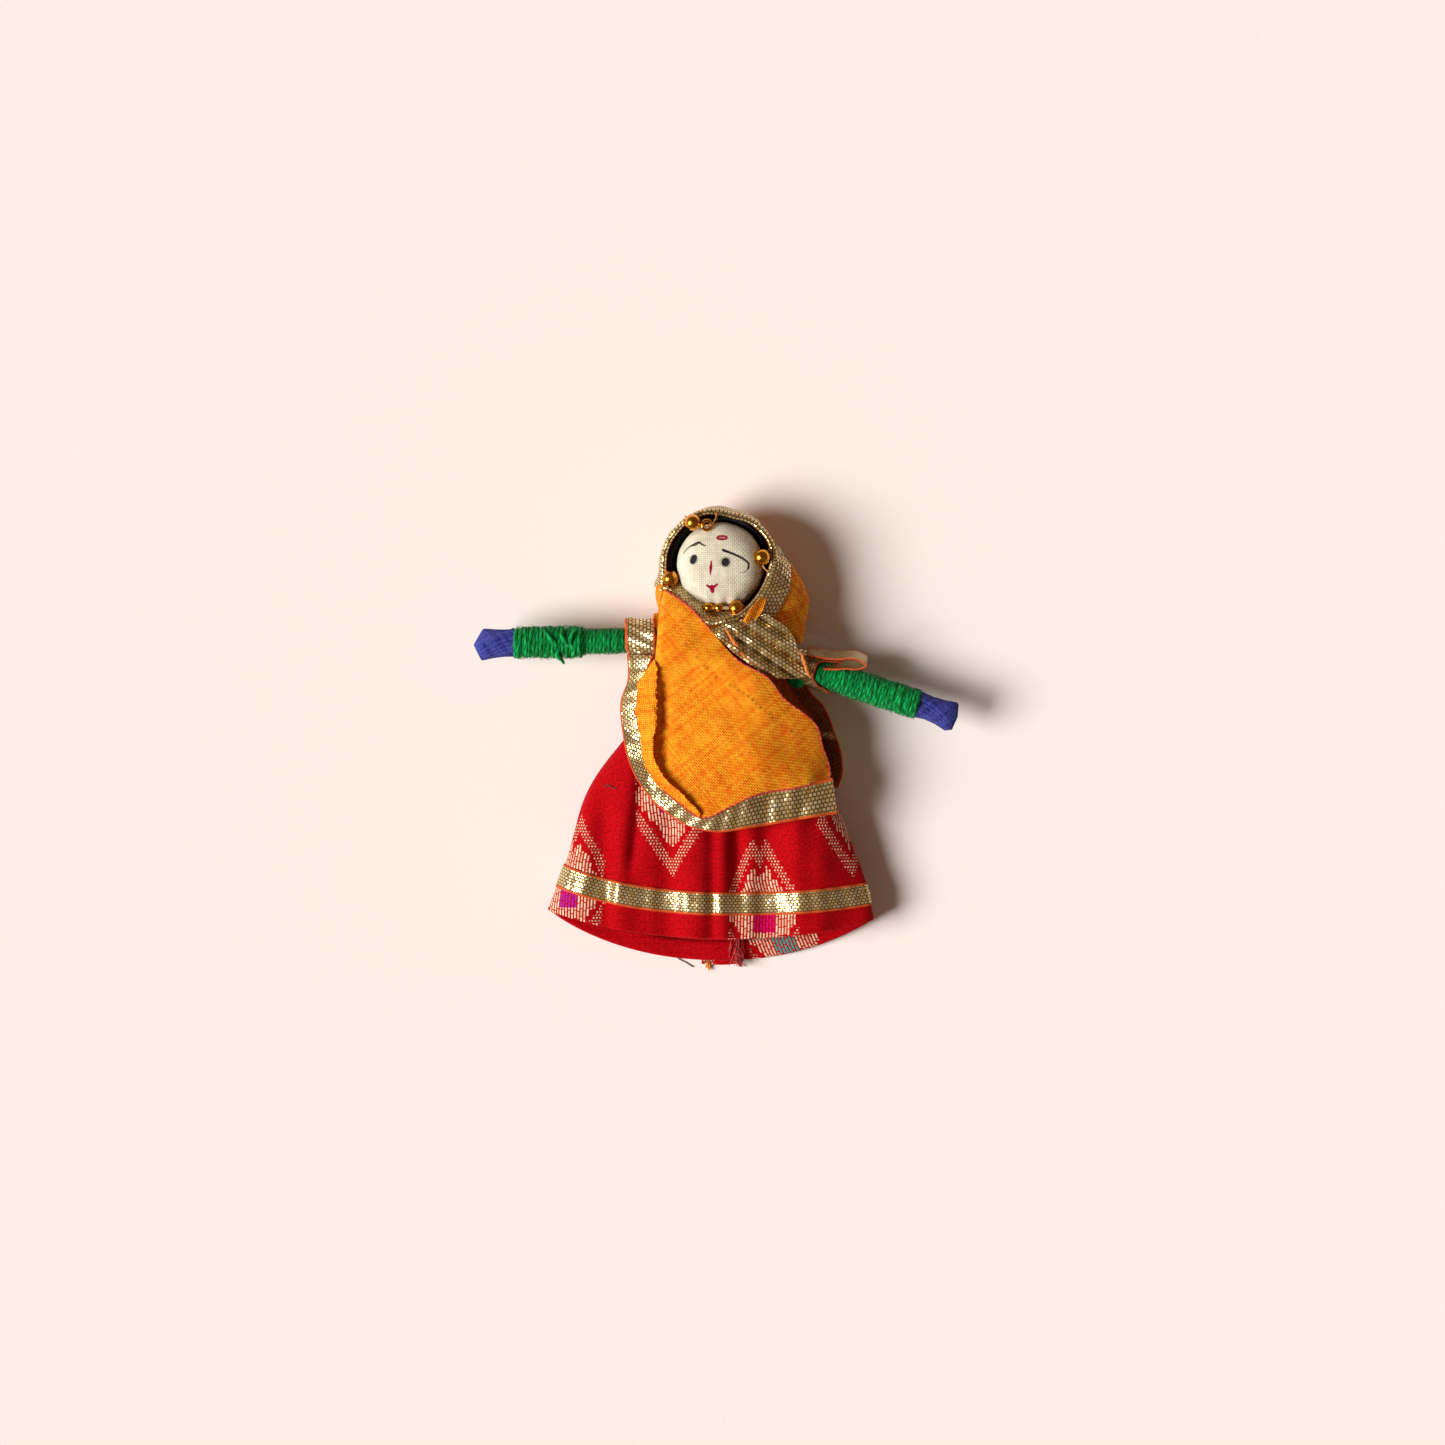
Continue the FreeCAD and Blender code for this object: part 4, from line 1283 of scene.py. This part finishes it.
# ---------------------------------------------------------------- inside
def make_inside():
    """Stuffed roll, bodice, bindings, and finishes for the stick, wires, ball and beads."""
    s = sizes()
    wood, steel, bright = turned_wood("soft_wood"), drawn_wire("steel_wire"), gilt("gilt_bead", colours())
    string = thread("binding_thread", rgb(214, 184, 140), rgb(140, 104, 66))
    for name, finish in (
        ("core_stick", wood), ("neck_peg", wood), ("head_ball", wood), ("shoulder_wire", steel),
        ("right_arm_wire", steel), ("left_arm_wire", steel), ("forehead_bead", bright),
        ("ear_bead_right", bright),
        ("ear_bead_left", bright), ("necklace_beads", bright), ("forehead_pendant", bright),
        ("necklace_thread", string),
    ):
        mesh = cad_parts[name].data
        mesh.materials.clear()
        mesh.materials.append(finish)

    turn = np.linspace(0, 2 * math.pi, 150, endpoint=False)[None]
    y = np.linspace(-5.6, 20.6, 120)[:, None]
    end = np.clip(1 - (np.abs(y - 7.5) / 13.4) ** 8, 0, 1) ** 0.5
    dent = 1 + 0.03 * np.sin(turn * 5 + y * 0.3) + 0.02 * ripple(turn * 6, y * 0.4, 5.0, 91)
    roll = np.stack(
        [AXIS[0] + 7.2 * end * dent * np.cos(turn), y + 0 * turn, AXIS[2] + 4.8 * end * dent * np.sin(turn)],
        -1,
    )
    stuffing = piece("body_stuffing", [patch(roll, True, ends=True)], rag("stuffing_rag"), closed=True)
    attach(stuffing, "torso")
    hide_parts("body_roll")

    round_body = np.linspace(-0.6, 2 * math.pi - 0.35, 220)[None]
    y = np.linspace(2.2, 20.8, 90)[:, None]
    grow = 0.35 + 0.1 * ease((round_body - 5.2) / 0.5) + 0.04 * ripple(round_body * 7, y * 0.7, 5.0, 93)
    shape = np.stack(
        [
            AXIS[0] + (7.4 + grow) * np.cos(round_body), y + 0 * round_body,
            AXIS[2] + (5.0 + grow) * np.sin(round_body),
        ],
        -1
    )
    bodice = piece("bodice_cotton", [patch(shape)], brocade("bodice_brocade", colours()), thickness=s.cloth)
    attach(bodice, "torso")
    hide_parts("bodice_cloth")

    for name, node, body, args in (
        ("neck_tie", "neck_binding", "torso", (AXIS, 2.3, 2.3, 21.25, 22.0, 3, 0.28, 1)),
        ("neck_wrap", "neck_winding", "neck", (AXIS, 2.45, 2.45, 24.7, 25.9, 4, 0.28, 2)),
        ("waist_tie", "skirt_waist_binding", "skirt", (AXIS + (0, 0, 0.3), 12.2, 6.6, 7.35, 8.3, 4, 0.22, 3)),
    ):
        tie = piece(name, [winding(*args)], string, closed=True)
        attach(tie, body)
        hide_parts(node)


# ---------------------------------------------------------------- arms
SHOULDERS = {"right": (-10.2, 20.3, 181.0), "left": (11.0, 16.8, -18.0)}


class Arm:
    """Places on an arm: along it from the shoulder, aside in the table's plane, and up."""

    def __init__(self, side):
        x, y, heading = SHOULDERS[side]
        a = math.radians(heading)
        self.start = np.array([x, y, AXIS[2]])
        self.on = np.array([math.cos(a), math.sin(a), 0.0])
        self.aside = np.array([-math.sin(a), math.cos(a), 0.0]) * (-1.0 if side == "right" else 1.0)

    def place(self, along, aside, up):
        along, aside, up = np.broadcast_arrays(along, aside, up)
        return (
            self.start + along[..., None] * self.on + aside[..., None] * self.aside
            + up[..., None] * (0, 0, 1.0)
        )


def wound_strand(arm, s, angle, radius, thick):
    """A strand wound round an arm: angle and radius at each distance s along it."""
    return strand(arm.place(s, radius * np.cos(angle), radius * np.sin(angle)), thick)


def make_arm(side):
    """Green yarn wound on the wire, its fuzz, the blue hand, the ribbon cuff and the knot at the shoulder.

    A strand is a helix whose radius follows the arm's girth; a few looser turns cross over it."""
    s, c = sizes(), colours()
    arm = Arm(side)
    right = side == "right"
    seed = 100 if right else 200
    source = seeded(seed)
    green = yarn("green_yarn_" + side, c.green, c.green_dark)

    def girth(s_along):
        """The bound arm's radius at a distance from the shoulder: a little thicker towards the hand."""
        if right:
            return 2.05 + 0.62 * ease((s_along - 17.2) / 1.4) + 0.1 * ease((s_along - 6) / 12)
        return 2.2 + 0.38 * ease((s_along - 6) / 14)

    first, last, pitch = 2.7, 32.3, 0.74
    turns = (last - first) / pitch
    t = np.linspace(0, 1, int(turns * 26))
    along = first + (last - first) * t + 0.13 * ripple(t * turns, 0 * t, 4.0, seed + 1)
    radius = girth(along) + 0.13 * ripple(t * turns, 0 * t, 2.5, seed + 2)
    thick = s.strand * (1 + 0.12 * ripple(t * 90, 0 * t, 3, 9))
    parts = [wound_strand(arm, along, t * turns * 2 * math.pi, radius, thick)]
    steps = np.linspace(first, last, 40)
    parts.append(strand(arm.place(steps, 0.0, 0.0), girth(steps) - 0.12, 20))
    right_crossings = [(18.2, 24.5, 5.0, 0.22, 0.3), (23.0, 31.7, 7.5, 0.12, 2.0)]
    left_crossings = [(10.0, 31.6, 22.3, 0.08, 0.5)]
    for low, high, count, lift, offset in right_crossings if right else left_crossings:
        t = np.linspace(0, 1, int(count * 26))
        along = low + (high - low) * t + 0.3 * np.sin(t * count * 9.1)
        radius = girth(along) + lift + 0.15 * np.sin(t * count * 5.3 + offset)
        parts.append(wound_strand(arm, along, offset + t * count * 2 * math.pi, radius, s.strand * 0.95))
    if right:
        t = np.linspace(0, 1, 14)
        tuft = through([(22.9, -1.6, 2.2), (23.3, -2.9, 2.2), (22.4, -3.7, 1.4), (22.0, -4.4, 0.2)], t)
        parts.append(strand(arm.place(*tuft.T), 0.55 - 0.25 * t, 8))
        t = np.linspace(0, 1, 26)
        thick = 0.45 * np.sin(math.pi * (0.12 + 0.76 * t)) ** 0.5
        for k, (s0, high) in enumerate([(19.2, 1.0), (21.0, 0.85), (24.6, 0.75)]):
            up = girth(s0) + high * np.sin(math.pi * t) + 0.1 - 1.5 * t**3
            parts.append(strand(arm.place(s0 + 1.3 * np.sin(t * 3.1 + k), 2.4 - 4.3 * t, up), thick))
    else:
        t = np.linspace(0, 1, 22)
        thick = 0.5 * np.sin(math.pi * (0.1 + 0.8 * t)) ** 0.5
        for k in range(3):
            points = [
                (4.4, -2.2, 1.6), (5.7, -3.9 + 0.35 * k, 2.0), (7.1, -4.0 + 0.5 * k, 1.8), (8.6, -2.6, 1.0)
            ]
            loop = through(points, t)
            parts.append(strand(arm.place(loop[:, 0], loop[:, 1], loop[:, 2] + 0.15 * k), thick, 8))
    count = 2600
    where, angle = source.uniform(first, last, count), source.uniform(-0.5, 2 * math.pi, count)
    lean, reach = source.normal(0, 0.8, count), s.fibre * source.uniform(0.35, 1.0, count) ** 1.5
    q = np.linspace(0, 1, 5)[None]
    stand = source.uniform(0.1, 1.0, count)[:, None] ** 2
    out = (
        girth(where)[:, None] + 0.36 + stand * reach[:, None] * 0.9 * q * (1 - 0.35 * q)
        + 0.1 * np.sin(math.pi * q)
    )
    swing = angle[:, None] + (reach * source.normal(0, 0.75, count))[:, None] * q
    fibres = arm.place(
        where[:, None] + (lean * reach)[:, None] * q**1.5, out * np.cos(swing), out * np.sin(swing)
    )
    wound = piece(side + "_arm_wound_yarn", parts, green, closed=True)
    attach(wound, side + "_arm")
    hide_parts(side + "_arm_yarn")
    fuzz = piece(side + "_arm_fuzz", [threads(fibres, 0.045)], green, closed=True)
    fuzz.parent = wound

    make_hand(arm, side, right)
    make_cuff(arm, side, right)

    t = np.linspace(0, 1, 700)
    polar = np.arccos(np.clip(np.sin(t * 61.0) * 0.96, -1, 1))
    yaw = t * 95.0
    knot_radius = 1.72
    flat = knot_radius * np.sin(polar)
    ball = arm.place(flat * np.cos(yaw), flat * np.sin(yaw), knot_radius * np.cos(polar))
    string = thread("knot_thread_" + side, rgb(214, 184, 140), rgb(140, 104, 66))
    knot = piece(side + "_shoulder_tie", [strand(ball, 0.3, 6)], string, closed=True)
    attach(knot, side + "_shoulder")
    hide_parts(side + "_shoulder_knot")


def make_hand(arm, side, right):
    """Blue cloth folded flat over the wire's end; its two faces meet along the sides and the slanted tip.

    Width and thickness go along the hand; how far a lengthwise line reaches depends on its place aside."""
    c = colours()
    t = np.linspace(0, 1, 90)[:, None]
    turn = np.linspace(0, 2 * math.pi, 150, endpoint=False)[None]
    aside = np.cos(turn)
    if right:
        ends = np.interp(aside, [-1, -0.9, 0.0, 0.9, 1], [39.0, 39.3, 40.75, 38.9, 38.5])
        wide = [2.9, 2.85, 3.0, 3.35]
    else:
        ends = np.interp(aside, [-1, -0.8, 0.1, 0.9, 1], [39.2, 40.6, 40.9, 40.3, 39.9])
        wide = [2.85, 2.55, 2.7, 3.2]
    start = 31.9
    w = np.interp(t, [0, 0.35, 0.65, 1], wide)
    thick = np.interp(t, [0, 0.3, 0.8, 1], [2.2, 2.1, 1.7, 1.15]) * np.clip(1 - t**9, 0, 1) ** 0.5
    s = start + (ends - start) * t
    lift = np.sign(np.sin(turn)) * np.abs(np.sin(turn)) ** 0.75
    crease = 1 + 0.05 * np.sin(aside * 4.2 + s * 0.7) + 0.03 * ripple(s, aside * 3, 3.0, 5)
    step = 0.16 * ease((aside - 0.25 - 0.25 * t) / 0.05) * (np.sin(turn) > 0) * (1 - t**6)
    middle = (0.0 if right else 0.1) + (-0.25 * t**2 if right else -0.3 * t**2)
    grid = arm.place(s, middle + w * aside, thick * lift * crease + step)
    uv = np.stack([s + 0 * turn, w * 1.35 * (turn - math.pi)], -1)
    uv = np.concatenate([uv, np.stack([s[:, :1], w * 1.35 * math.pi], -1)], 1)
    name = "blue_cotton_" + side
    # depth=1.1 gives the hand cloth strong painted shade between its threads and painted light on their tops.
    finish = plain_cloth(
        name, c.blue, c.blue_dark, WEAVE, turn=24, mottle=0.1, relief=0.14, sheen=0.08, depth=1.1
    )
    hand = piece(side + "_hand_wrap", [patch(grid, True, uv)], finish, closed=True)
    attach(hand, side + "_arm")
    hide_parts(side + "_hand_cloth")


LOOP = [
    (18.6, 17.9), (22.0, 17.4), (25.5, 17.2), (29.6, 16.9), (31.0, 16.0), (29.6, 15.1), (26.0, 15.2),
    (22.0, 15.0),
]


def make_cuff(arm, side, right):
    """Gold ribbon loosely round the upper arm: a ring of ribbon, wider at its outer edge.

    The left one ends in a loop of ribbon that stands on edge beside the arm."""
    width = sizes().ribbon
    gold = gold_ribbon("gold_ribbon_" + side, colours(), width)
    turn = np.linspace(0, 2 * math.pi, 260, endpoint=False)[None]
    q = np.linspace(0, 1, 15)[:, None]
    aside, up = np.cos(turn), np.sin(turn)
    if right:
        outer = 7.4 + 1.7 * ease((aside + 1.0) / 0.8)
        s = outer - (outer - 2.7) * q
        wide, deep, shift = 4.75 + 0 * q, 2.95 + 1.5 * ease(q), -0.25
    else:
        outer = 9.7 + 5.0 * np.abs(aside) ** 4
        s = outer - (outer - 4.6) * q
        wide, deep, shift = 3.5 + 0 * q, 3.25 + 0.2 * q, 0.05
    wave = 0.14 * np.sin(turn * 9 + s) + 0.1 * ripple(turn * 4, s, 3.0, 17)
    grid = arm.place(s, shift + (wide + wave) * aside, (deep + wave) * up)
    uv = np.stack(np.meshgrid(np.linspace(0, 27, 261), np.linspace(0.01, width - 0.01, 15)), -1)
    parts = [patch(grid, True, uv=uv)]
    if not right:
        t = np.linspace(0, 1, 130)
        path = through(LOOP, t)
        across = np.linspace(-0.5, 0.5, 11)[:, None] * width
        x = path[None, :, 0] - 0.05 * across
        y = path[None, :, 1] - 0.36 * across + 0.12 * np.sin(run_of(path)[None] * 0.9)
        loop = np.stack([x, y, 12.0 + 0.86 * across + 0 * x], -1)
        parts.append(patch(loop, uv=ribbon_uv(loop)))
    cuff = piece(side + "_cuff_ribbon", parts, gold, thickness=0.22)
    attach(cuff, side + "_arm")
    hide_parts(side + "_arm_sleeve_ribbon")


# ---------------------------------------------------------------- skirt
WAIST = 9.0
SECTIONS = np.array([
    (9, -8.5, 9.5, 4.5, 15.6), (0, -19.5, 17.0, 1.6, 15.5), (-12, -27.2, 24.0, 0.9, 15.1),
    (-24, -31.3, 28.3, 0.6, 13.6),
    (-36, -35.3, 32.3, 0.55, 12.2), (-50, -39.0, 35.0, 0.55, 11.0),
])
PLEATS = [
    (-36, 0.0), (-31.5, 0.5), (-30.2, 0.5), (-26.8, 0.9), (-23.0, -0.1), (-20.8, 0.8), (-17.2, 0.3),
    (-14, 0.0),
    (-10, -0.5), (-5.8, 1.1), (-3.0, 0.8), (-1.2, 0.2), (0.6, 1.0), (3.4, 0.0), (6.6, -0.4), (10.2, -1.3),
    (16.9, 1.6), (20.0, 1.3), (25.0, 0.2), (34.0, 0.0),
]


def skirt_hem(turn):
    """Height of the hem: highest at the sides, lower in front, lowest behind, as a cosine squared."""
    c = np.cos(turn)
    return -36.7 - 1.0 * np.sin(turn) - np.where(c > 0, 4.8, 9.6) * c**2


def skirt_point(turn, y, inset=0.0):
    """A point of the skirt, turn round from the front's middle towards the left arm, at a height y.

    Each section is a flattened ellipse between left, right, low and high, pleated in front by PLEATS."""
    turn, y = np.broadcast_arrays(turn, y)
    smooth = through(SECTIONS, np.linspace(0, 1, 300))
    left, right, low, high = (np.interp(-y, -smooth[:, 0], smooth[:, k]) for k in (1, 2, 3, 4))
    s, c = np.sin(turn), np.cos(turn)
    x = (left + right) / 2 + ((right - left) / 2 - inset) * np.sign(s) * np.abs(s) ** 0.94
    bulge = np.where(c > 0, np.abs(c) ** 0.72, -np.abs(c) ** 0.5)
    z = (low + high) / 2 + ((high - low) / 2 - inset) * bulge
    front, down = ease(c / 0.45), ease((-y - 8) / 12)
    pleat = through(PLEATS, np.linspace(0, 1, 400))
    z = z + front * down * np.interp(x, pleat[:, 0], pleat[:, 1])
    z = z - front * 1.6 * hump(x, 4.0, 1.7) * ease((-y - 15) / 5) * (1 - 0.8 * ease((-y - 29) / 5))
    groove = hump(x, -17.0 + (y + 18) * 0.12, 1.4)
    z = z - front * 1.1 * groove * ease((2 - y) / 8) * (1 - ease((-y - 24) / 8))
    z = z + front * (0.28 * ripple(x, y * 0.3, 9.0, 81) + 0.14 * ripple(x, y, 6.0, 82))
    z = z + ease(-c / 0.4) * 0.25 * (1 + ripple(x, y * 0.3, 11.0, 83))
    gather = ease((y + 4) / 12) * 0.5 * np.sin(30 * turn)
    x = x + gather * s + 0.35 * (1 - front) * ripple(y, 0 * y, 14.0, 84)
    return np.stack([x, y, z + gather * c], -1)


def cloth_uv(grid, turn):
    """U from the front's middle round the skirt and V down it, in millimetres of cloth."""
    closed = np.concatenate([grid, grid[:, :1]], 1)
    step = np.linalg.norm(np.diff(closed, axis=1), axis=-1)
    run = np.concatenate([np.zeros((len(grid), 1)), np.cumsum(step, axis=1)], 1)
    half = run[:, len(turn) // 2][:, None]
    back = ease(-np.cos(np.append(turn, turn[0])) / 0.5)
    v = -closed[..., 1] + 0.6 * back[None]
    u = run - half
    return np.stack([u - 3.0 * back[None] * np.sign(u), v], -1)


def make_skirt():
    """Red brocade skirt lying flat, its hem turned inside, a gold ribbon round it and a frayed seam.

    The cloth is skirt_point from the waist to the hem, then half a circle's fold, then a short way up inside.
    The ribbon is skirt_point a little outside the cloth."""
    s, c = sizes(), colours()
    turn = np.linspace(-math.pi, math.pi, 330, endpoint=False)
    fall = np.linspace(0, 1, 112)[:, None]
    hem = skirt_hem(turn)[None]
    outside = skirt_point(turn[None], WAIST + (hem - WAIST) * fall)
    bend = 0.28
    fold = [
        skirt_point(turn, hem[0] - bend * math.sin(a), bend * (1 - math.cos(a)))
        for a in np.linspace(0.3, math.pi, 5)
    ]
    inside = [skirt_point(turn, hem[0] + rise, 2 * bend) for rise in (0.7, 1.6, 2.6, 3.6)]
    grid = np.concatenate([outside, np.stack(fold), np.stack(inside)], 0)
    uv = cloth_uv(grid, turn)
    skirt = piece("skirt_brocade", [patch(grid, True, uv)], brocade("red_brocade", c), thickness=s.cloth)
    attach(skirt, "skirt")
    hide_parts("skirt_cloth", "skirt_turned_hem")

    count = 640
    turn = np.linspace(-math.pi, math.pi, count, endpoint=False)
    low = skirt_hem(turn) + 4.6 - 1.9 * np.maximum(np.sin(turn), 0) ** 2
    q = np.linspace(0, 1, 13)[:, None]
    y = low[None] + 4.8 * q
    ribbon = skirt_point(turn[None], y, -0.34 - 0.1 * np.sin(math.pi * q))
    run = run_of(np.concatenate([ribbon[6], ribbon[6, :1]]))
    ribbon[..., 2] += 0.1 * np.sin(run[:-1] * 1.7)[None] * ease(np.cos(turn) / 0.3)[None]
    uv = np.stack(np.meshgrid(run, np.linspace(0.001, s.ribbon - 0.001, 13)), -1)
    band = piece(
        "skirt_gold_ribbon", [patch(ribbon, True, uv)], gold_ribbon("gold_ribbon_skirt", c, s.ribbon, 0.5),
        thickness=0.22,
    )
    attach(band, "skirt")
    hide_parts("skirt_ribbon")
    make_loose_ends(c)


def make_loose_ends(c):
    """Frayed seam, a scrap of the seam's cloth, an orange tuft and two short threads at the hem."""
    source = seeded(300)
    count = 70
    x, y = source.normal(4.0, 0.7, count), source.uniform(-47.2, -41.0, count)
    start = np.stack([x, y, source.uniform(1.6, 3.6, count)], -1)
    dx, dy = source.normal(0.1, 0.8, count), source.uniform(-2.6, -0.9, count)
    end = start + np.stack([dx, dy, source.normal(-0.8, 0.5, count)], -1)
    end[:, 1] = np.maximum(end[:, 1], -48.0)
    end[:, 2] = np.maximum(end[:, 2], 0.4)
    q = np.linspace(0, 1, 7)[None, :, None]
    bend = source.normal(0, 0.35, (count, 1, 3)) * np.sin(math.pi * q)
    paths = start[:, None] * (1 - q) + end[:, None] * q + bend
    paths[..., 2] = np.maximum(paths[..., 2], 0.3)
    fringe = piece(
        "seam_fringe", [threads(paths, 0.13, 4)], thread("fringe_thread", rgb(204, 52, 52), rgb(150, 10, 18)),
        closed=True,
    )
    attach(fringe, "skirt")
    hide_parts("skirt_seam_fringe")
    flap = between(
        [(-3.4, -47.5, 0.5), (0.6, -47.7, 0.45), (4.6, -47.4, 0.5)],
        [(-3.6, -44.0, 1.1), (0.6, -44.0, 1.2), (4.8, -44.0, 1.1)],
        [(-3.4, -47.5, 0.5), (-3.6, -44.0, 1.1)], [(4.6, -47.4, 0.5), (4.8, -44.0, 1.1)], 40, 20,
    )
    flap[..., 2] += 0.12 * np.sin(flap[..., 0] * 1.3)
    scrap = piece(
        "seam_allowance", [patch(flap, uv=flap[..., :2] + (60.0, 0.0))], brocade("seam_brocade", c),
        thickness=0.28,
    )
    scrap.parent = fringe
    tuft_start = np.stack(
        [source.normal(-2.0, 0.25, 16), source.uniform(-47.6, -46.8, 16), source.uniform(0.4, 0.9, 16)], -1
    )
    tuft_end = (
        tuft_start + np.stack([source.normal(0, 0.3, 16), source.uniform(-1.9, -0.9, 16), np.zeros(16)], -1)
    )
    tuft = tuft_start[:, None] * (1 - q) + tuft_end[:, None] * q
    tuft[..., 1] = np.maximum(tuft[..., 1], -49.3)
    orange = piece(
        "orange_tuft", [threads(tuft, 0.14, 4)], thread("tuft_thread", rgb(250, 176, 50), rgb(220, 120, 10)),
        closed=True,
    )
    orange.parent = fringe
    t = np.linspace(0, 1, 30)
    dark = through([(-9.4, -45.0, 0.6), (-8.3, -46.4, 0.3), (-6.8, -47.2, 0.25), (-5.2, -48.2, 0.25)], t)
    stray = piece(
        "dark_thread", [strand(dark, 0.1, 6)], thread("dark_thread_brown", rgb(128, 34, 34), rgb(70, 14, 20)),
        closed=True,
    )
    stray.parent = fringe
    on_skirt = skirt_point(np.linspace(-1.07, -0.86, 30), -10.2 + 0.35 * np.sin(t * 5.0), -0.4)
    stray = piece(
        "dark_thread_short", [strand(on_skirt, 0.12, 6)],
        thread("dark_thread_black", rgb(58, 30, 30), rgb(24, 12, 14)), closed=True,
    )
    stray.parent = fringe


# ---------------------------------------------------------------- operators
class OBJECT_OT_puppet_stage(bpy.types.Operator):
    """Pale card, soft light and a camera straight above"""

    bl_idname = "object.puppet_stage"
    bl_label = "Stage"

    def execute(self, context):
        make_stage()
        return {"FINISHED"}


class OBJECT_OT_puppet_inside(bpy.types.Operator):
    """Stick, wires, stuffing, bodice, bindings and beads"""

    bl_idname = "object.puppet_inside"
    bl_label = "Inside and beads"

    def execute(self, context):
        make_inside()
        return {"FINISHED"}


class OBJECT_OT_puppet_head(bpy.types.Operator):
    """Painted cotton head and its black hair cloth"""

    bl_idname = "object.puppet_head"
    bl_label = "Head"

    def execute(self, context):
        make_head()
        return {"FINISHED"}


class OBJECT_OT_puppet_arms(bpy.types.Operator):
    """Both arms: yarn, hands, ribbon cuffs and shoulder ties"""

    bl_idname = "object.puppet_arms"
    bl_label = "Arms"

    def execute(self, context):
        make_arm("right")
        make_arm("left")
        return {"FINISHED"}


class OBJECT_OT_puppet_skirt(bpy.types.Operator):
    """Brocade skirt, its ribbon and loose ends"""

    bl_idname = "object.puppet_skirt"
    bl_label = "Skirt"

    def execute(self, context):
        make_skirt()
        return {"FINISHED"}


class OBJECT_OT_puppet_hood(bpy.types.Operator):
    """Veil round the head, and its ribbon rim"""

    bl_idname = "object.puppet_hood"
    bl_label = "Hood"

    def execute(self, context):
        make_hood()
        return {"FINISHED"}


class OBJECT_OT_puppet_veil(bpy.types.Operator):
    """Veil over the chest and behind the back, with its ribbons"""

    bl_idname = "object.puppet_veil"
    bl_label = "Veil"

    def execute(self, context):
        make_veil()
        return {"FINISHED"}


OPERATORS = (
    OBJECT_OT_puppet_stage, OBJECT_OT_puppet_inside, OBJECT_OT_puppet_head, OBJECT_OT_puppet_arms,
    OBJECT_OT_puppet_skirt, OBJECT_OT_puppet_hood, OBJECT_OT_puppet_veil,
)


class VIEW3D_PT_puppet(bpy.types.Panel):
    bl_label = "Cloth Dancer Puppet"
    bl_space_type = "VIEW_3D"
    bl_region_type = "UI"
    bl_category = "Puppet"

    def draw(self, context):
        for operator in OPERATORS:
            self.layout.operator(operator.bl_idname)
        for group in (context.scene.puppet_sizes, context.scene.puppet_colours):
            for name in group.__annotations__:
                self.layout.prop(group, name)


def register():
    for made in (PuppetColours, PuppetSizes, *OPERATORS, VIEW3D_PT_puppet):
        bpy.utils.register_class(made)
    bpy.types.Scene.puppet_colours = PointerProperty(type=PuppetColours)
    bpy.types.Scene.puppet_sizes = PointerProperty(type=PuppetSizes)


def unregister():
    del bpy.types.Scene.puppet_sizes
    del bpy.types.Scene.puppet_colours
    for made in reversed((PuppetColours, PuppetSizes, *OPERATORS, VIEW3D_PT_puppet)):
        bpy.utils.unregister_class(made)


def main():
    register()
    bpy.ops.object.puppet_stage()
    bpy.ops.object.puppet_inside()
    bpy.ops.object.puppet_head()
    bpy.ops.object.puppet_arms()
    bpy.ops.object.puppet_skirt()
    bpy.ops.object.puppet_hood()
    bpy.ops.object.puppet_veil()


if __name__ == "__main__":
    main()
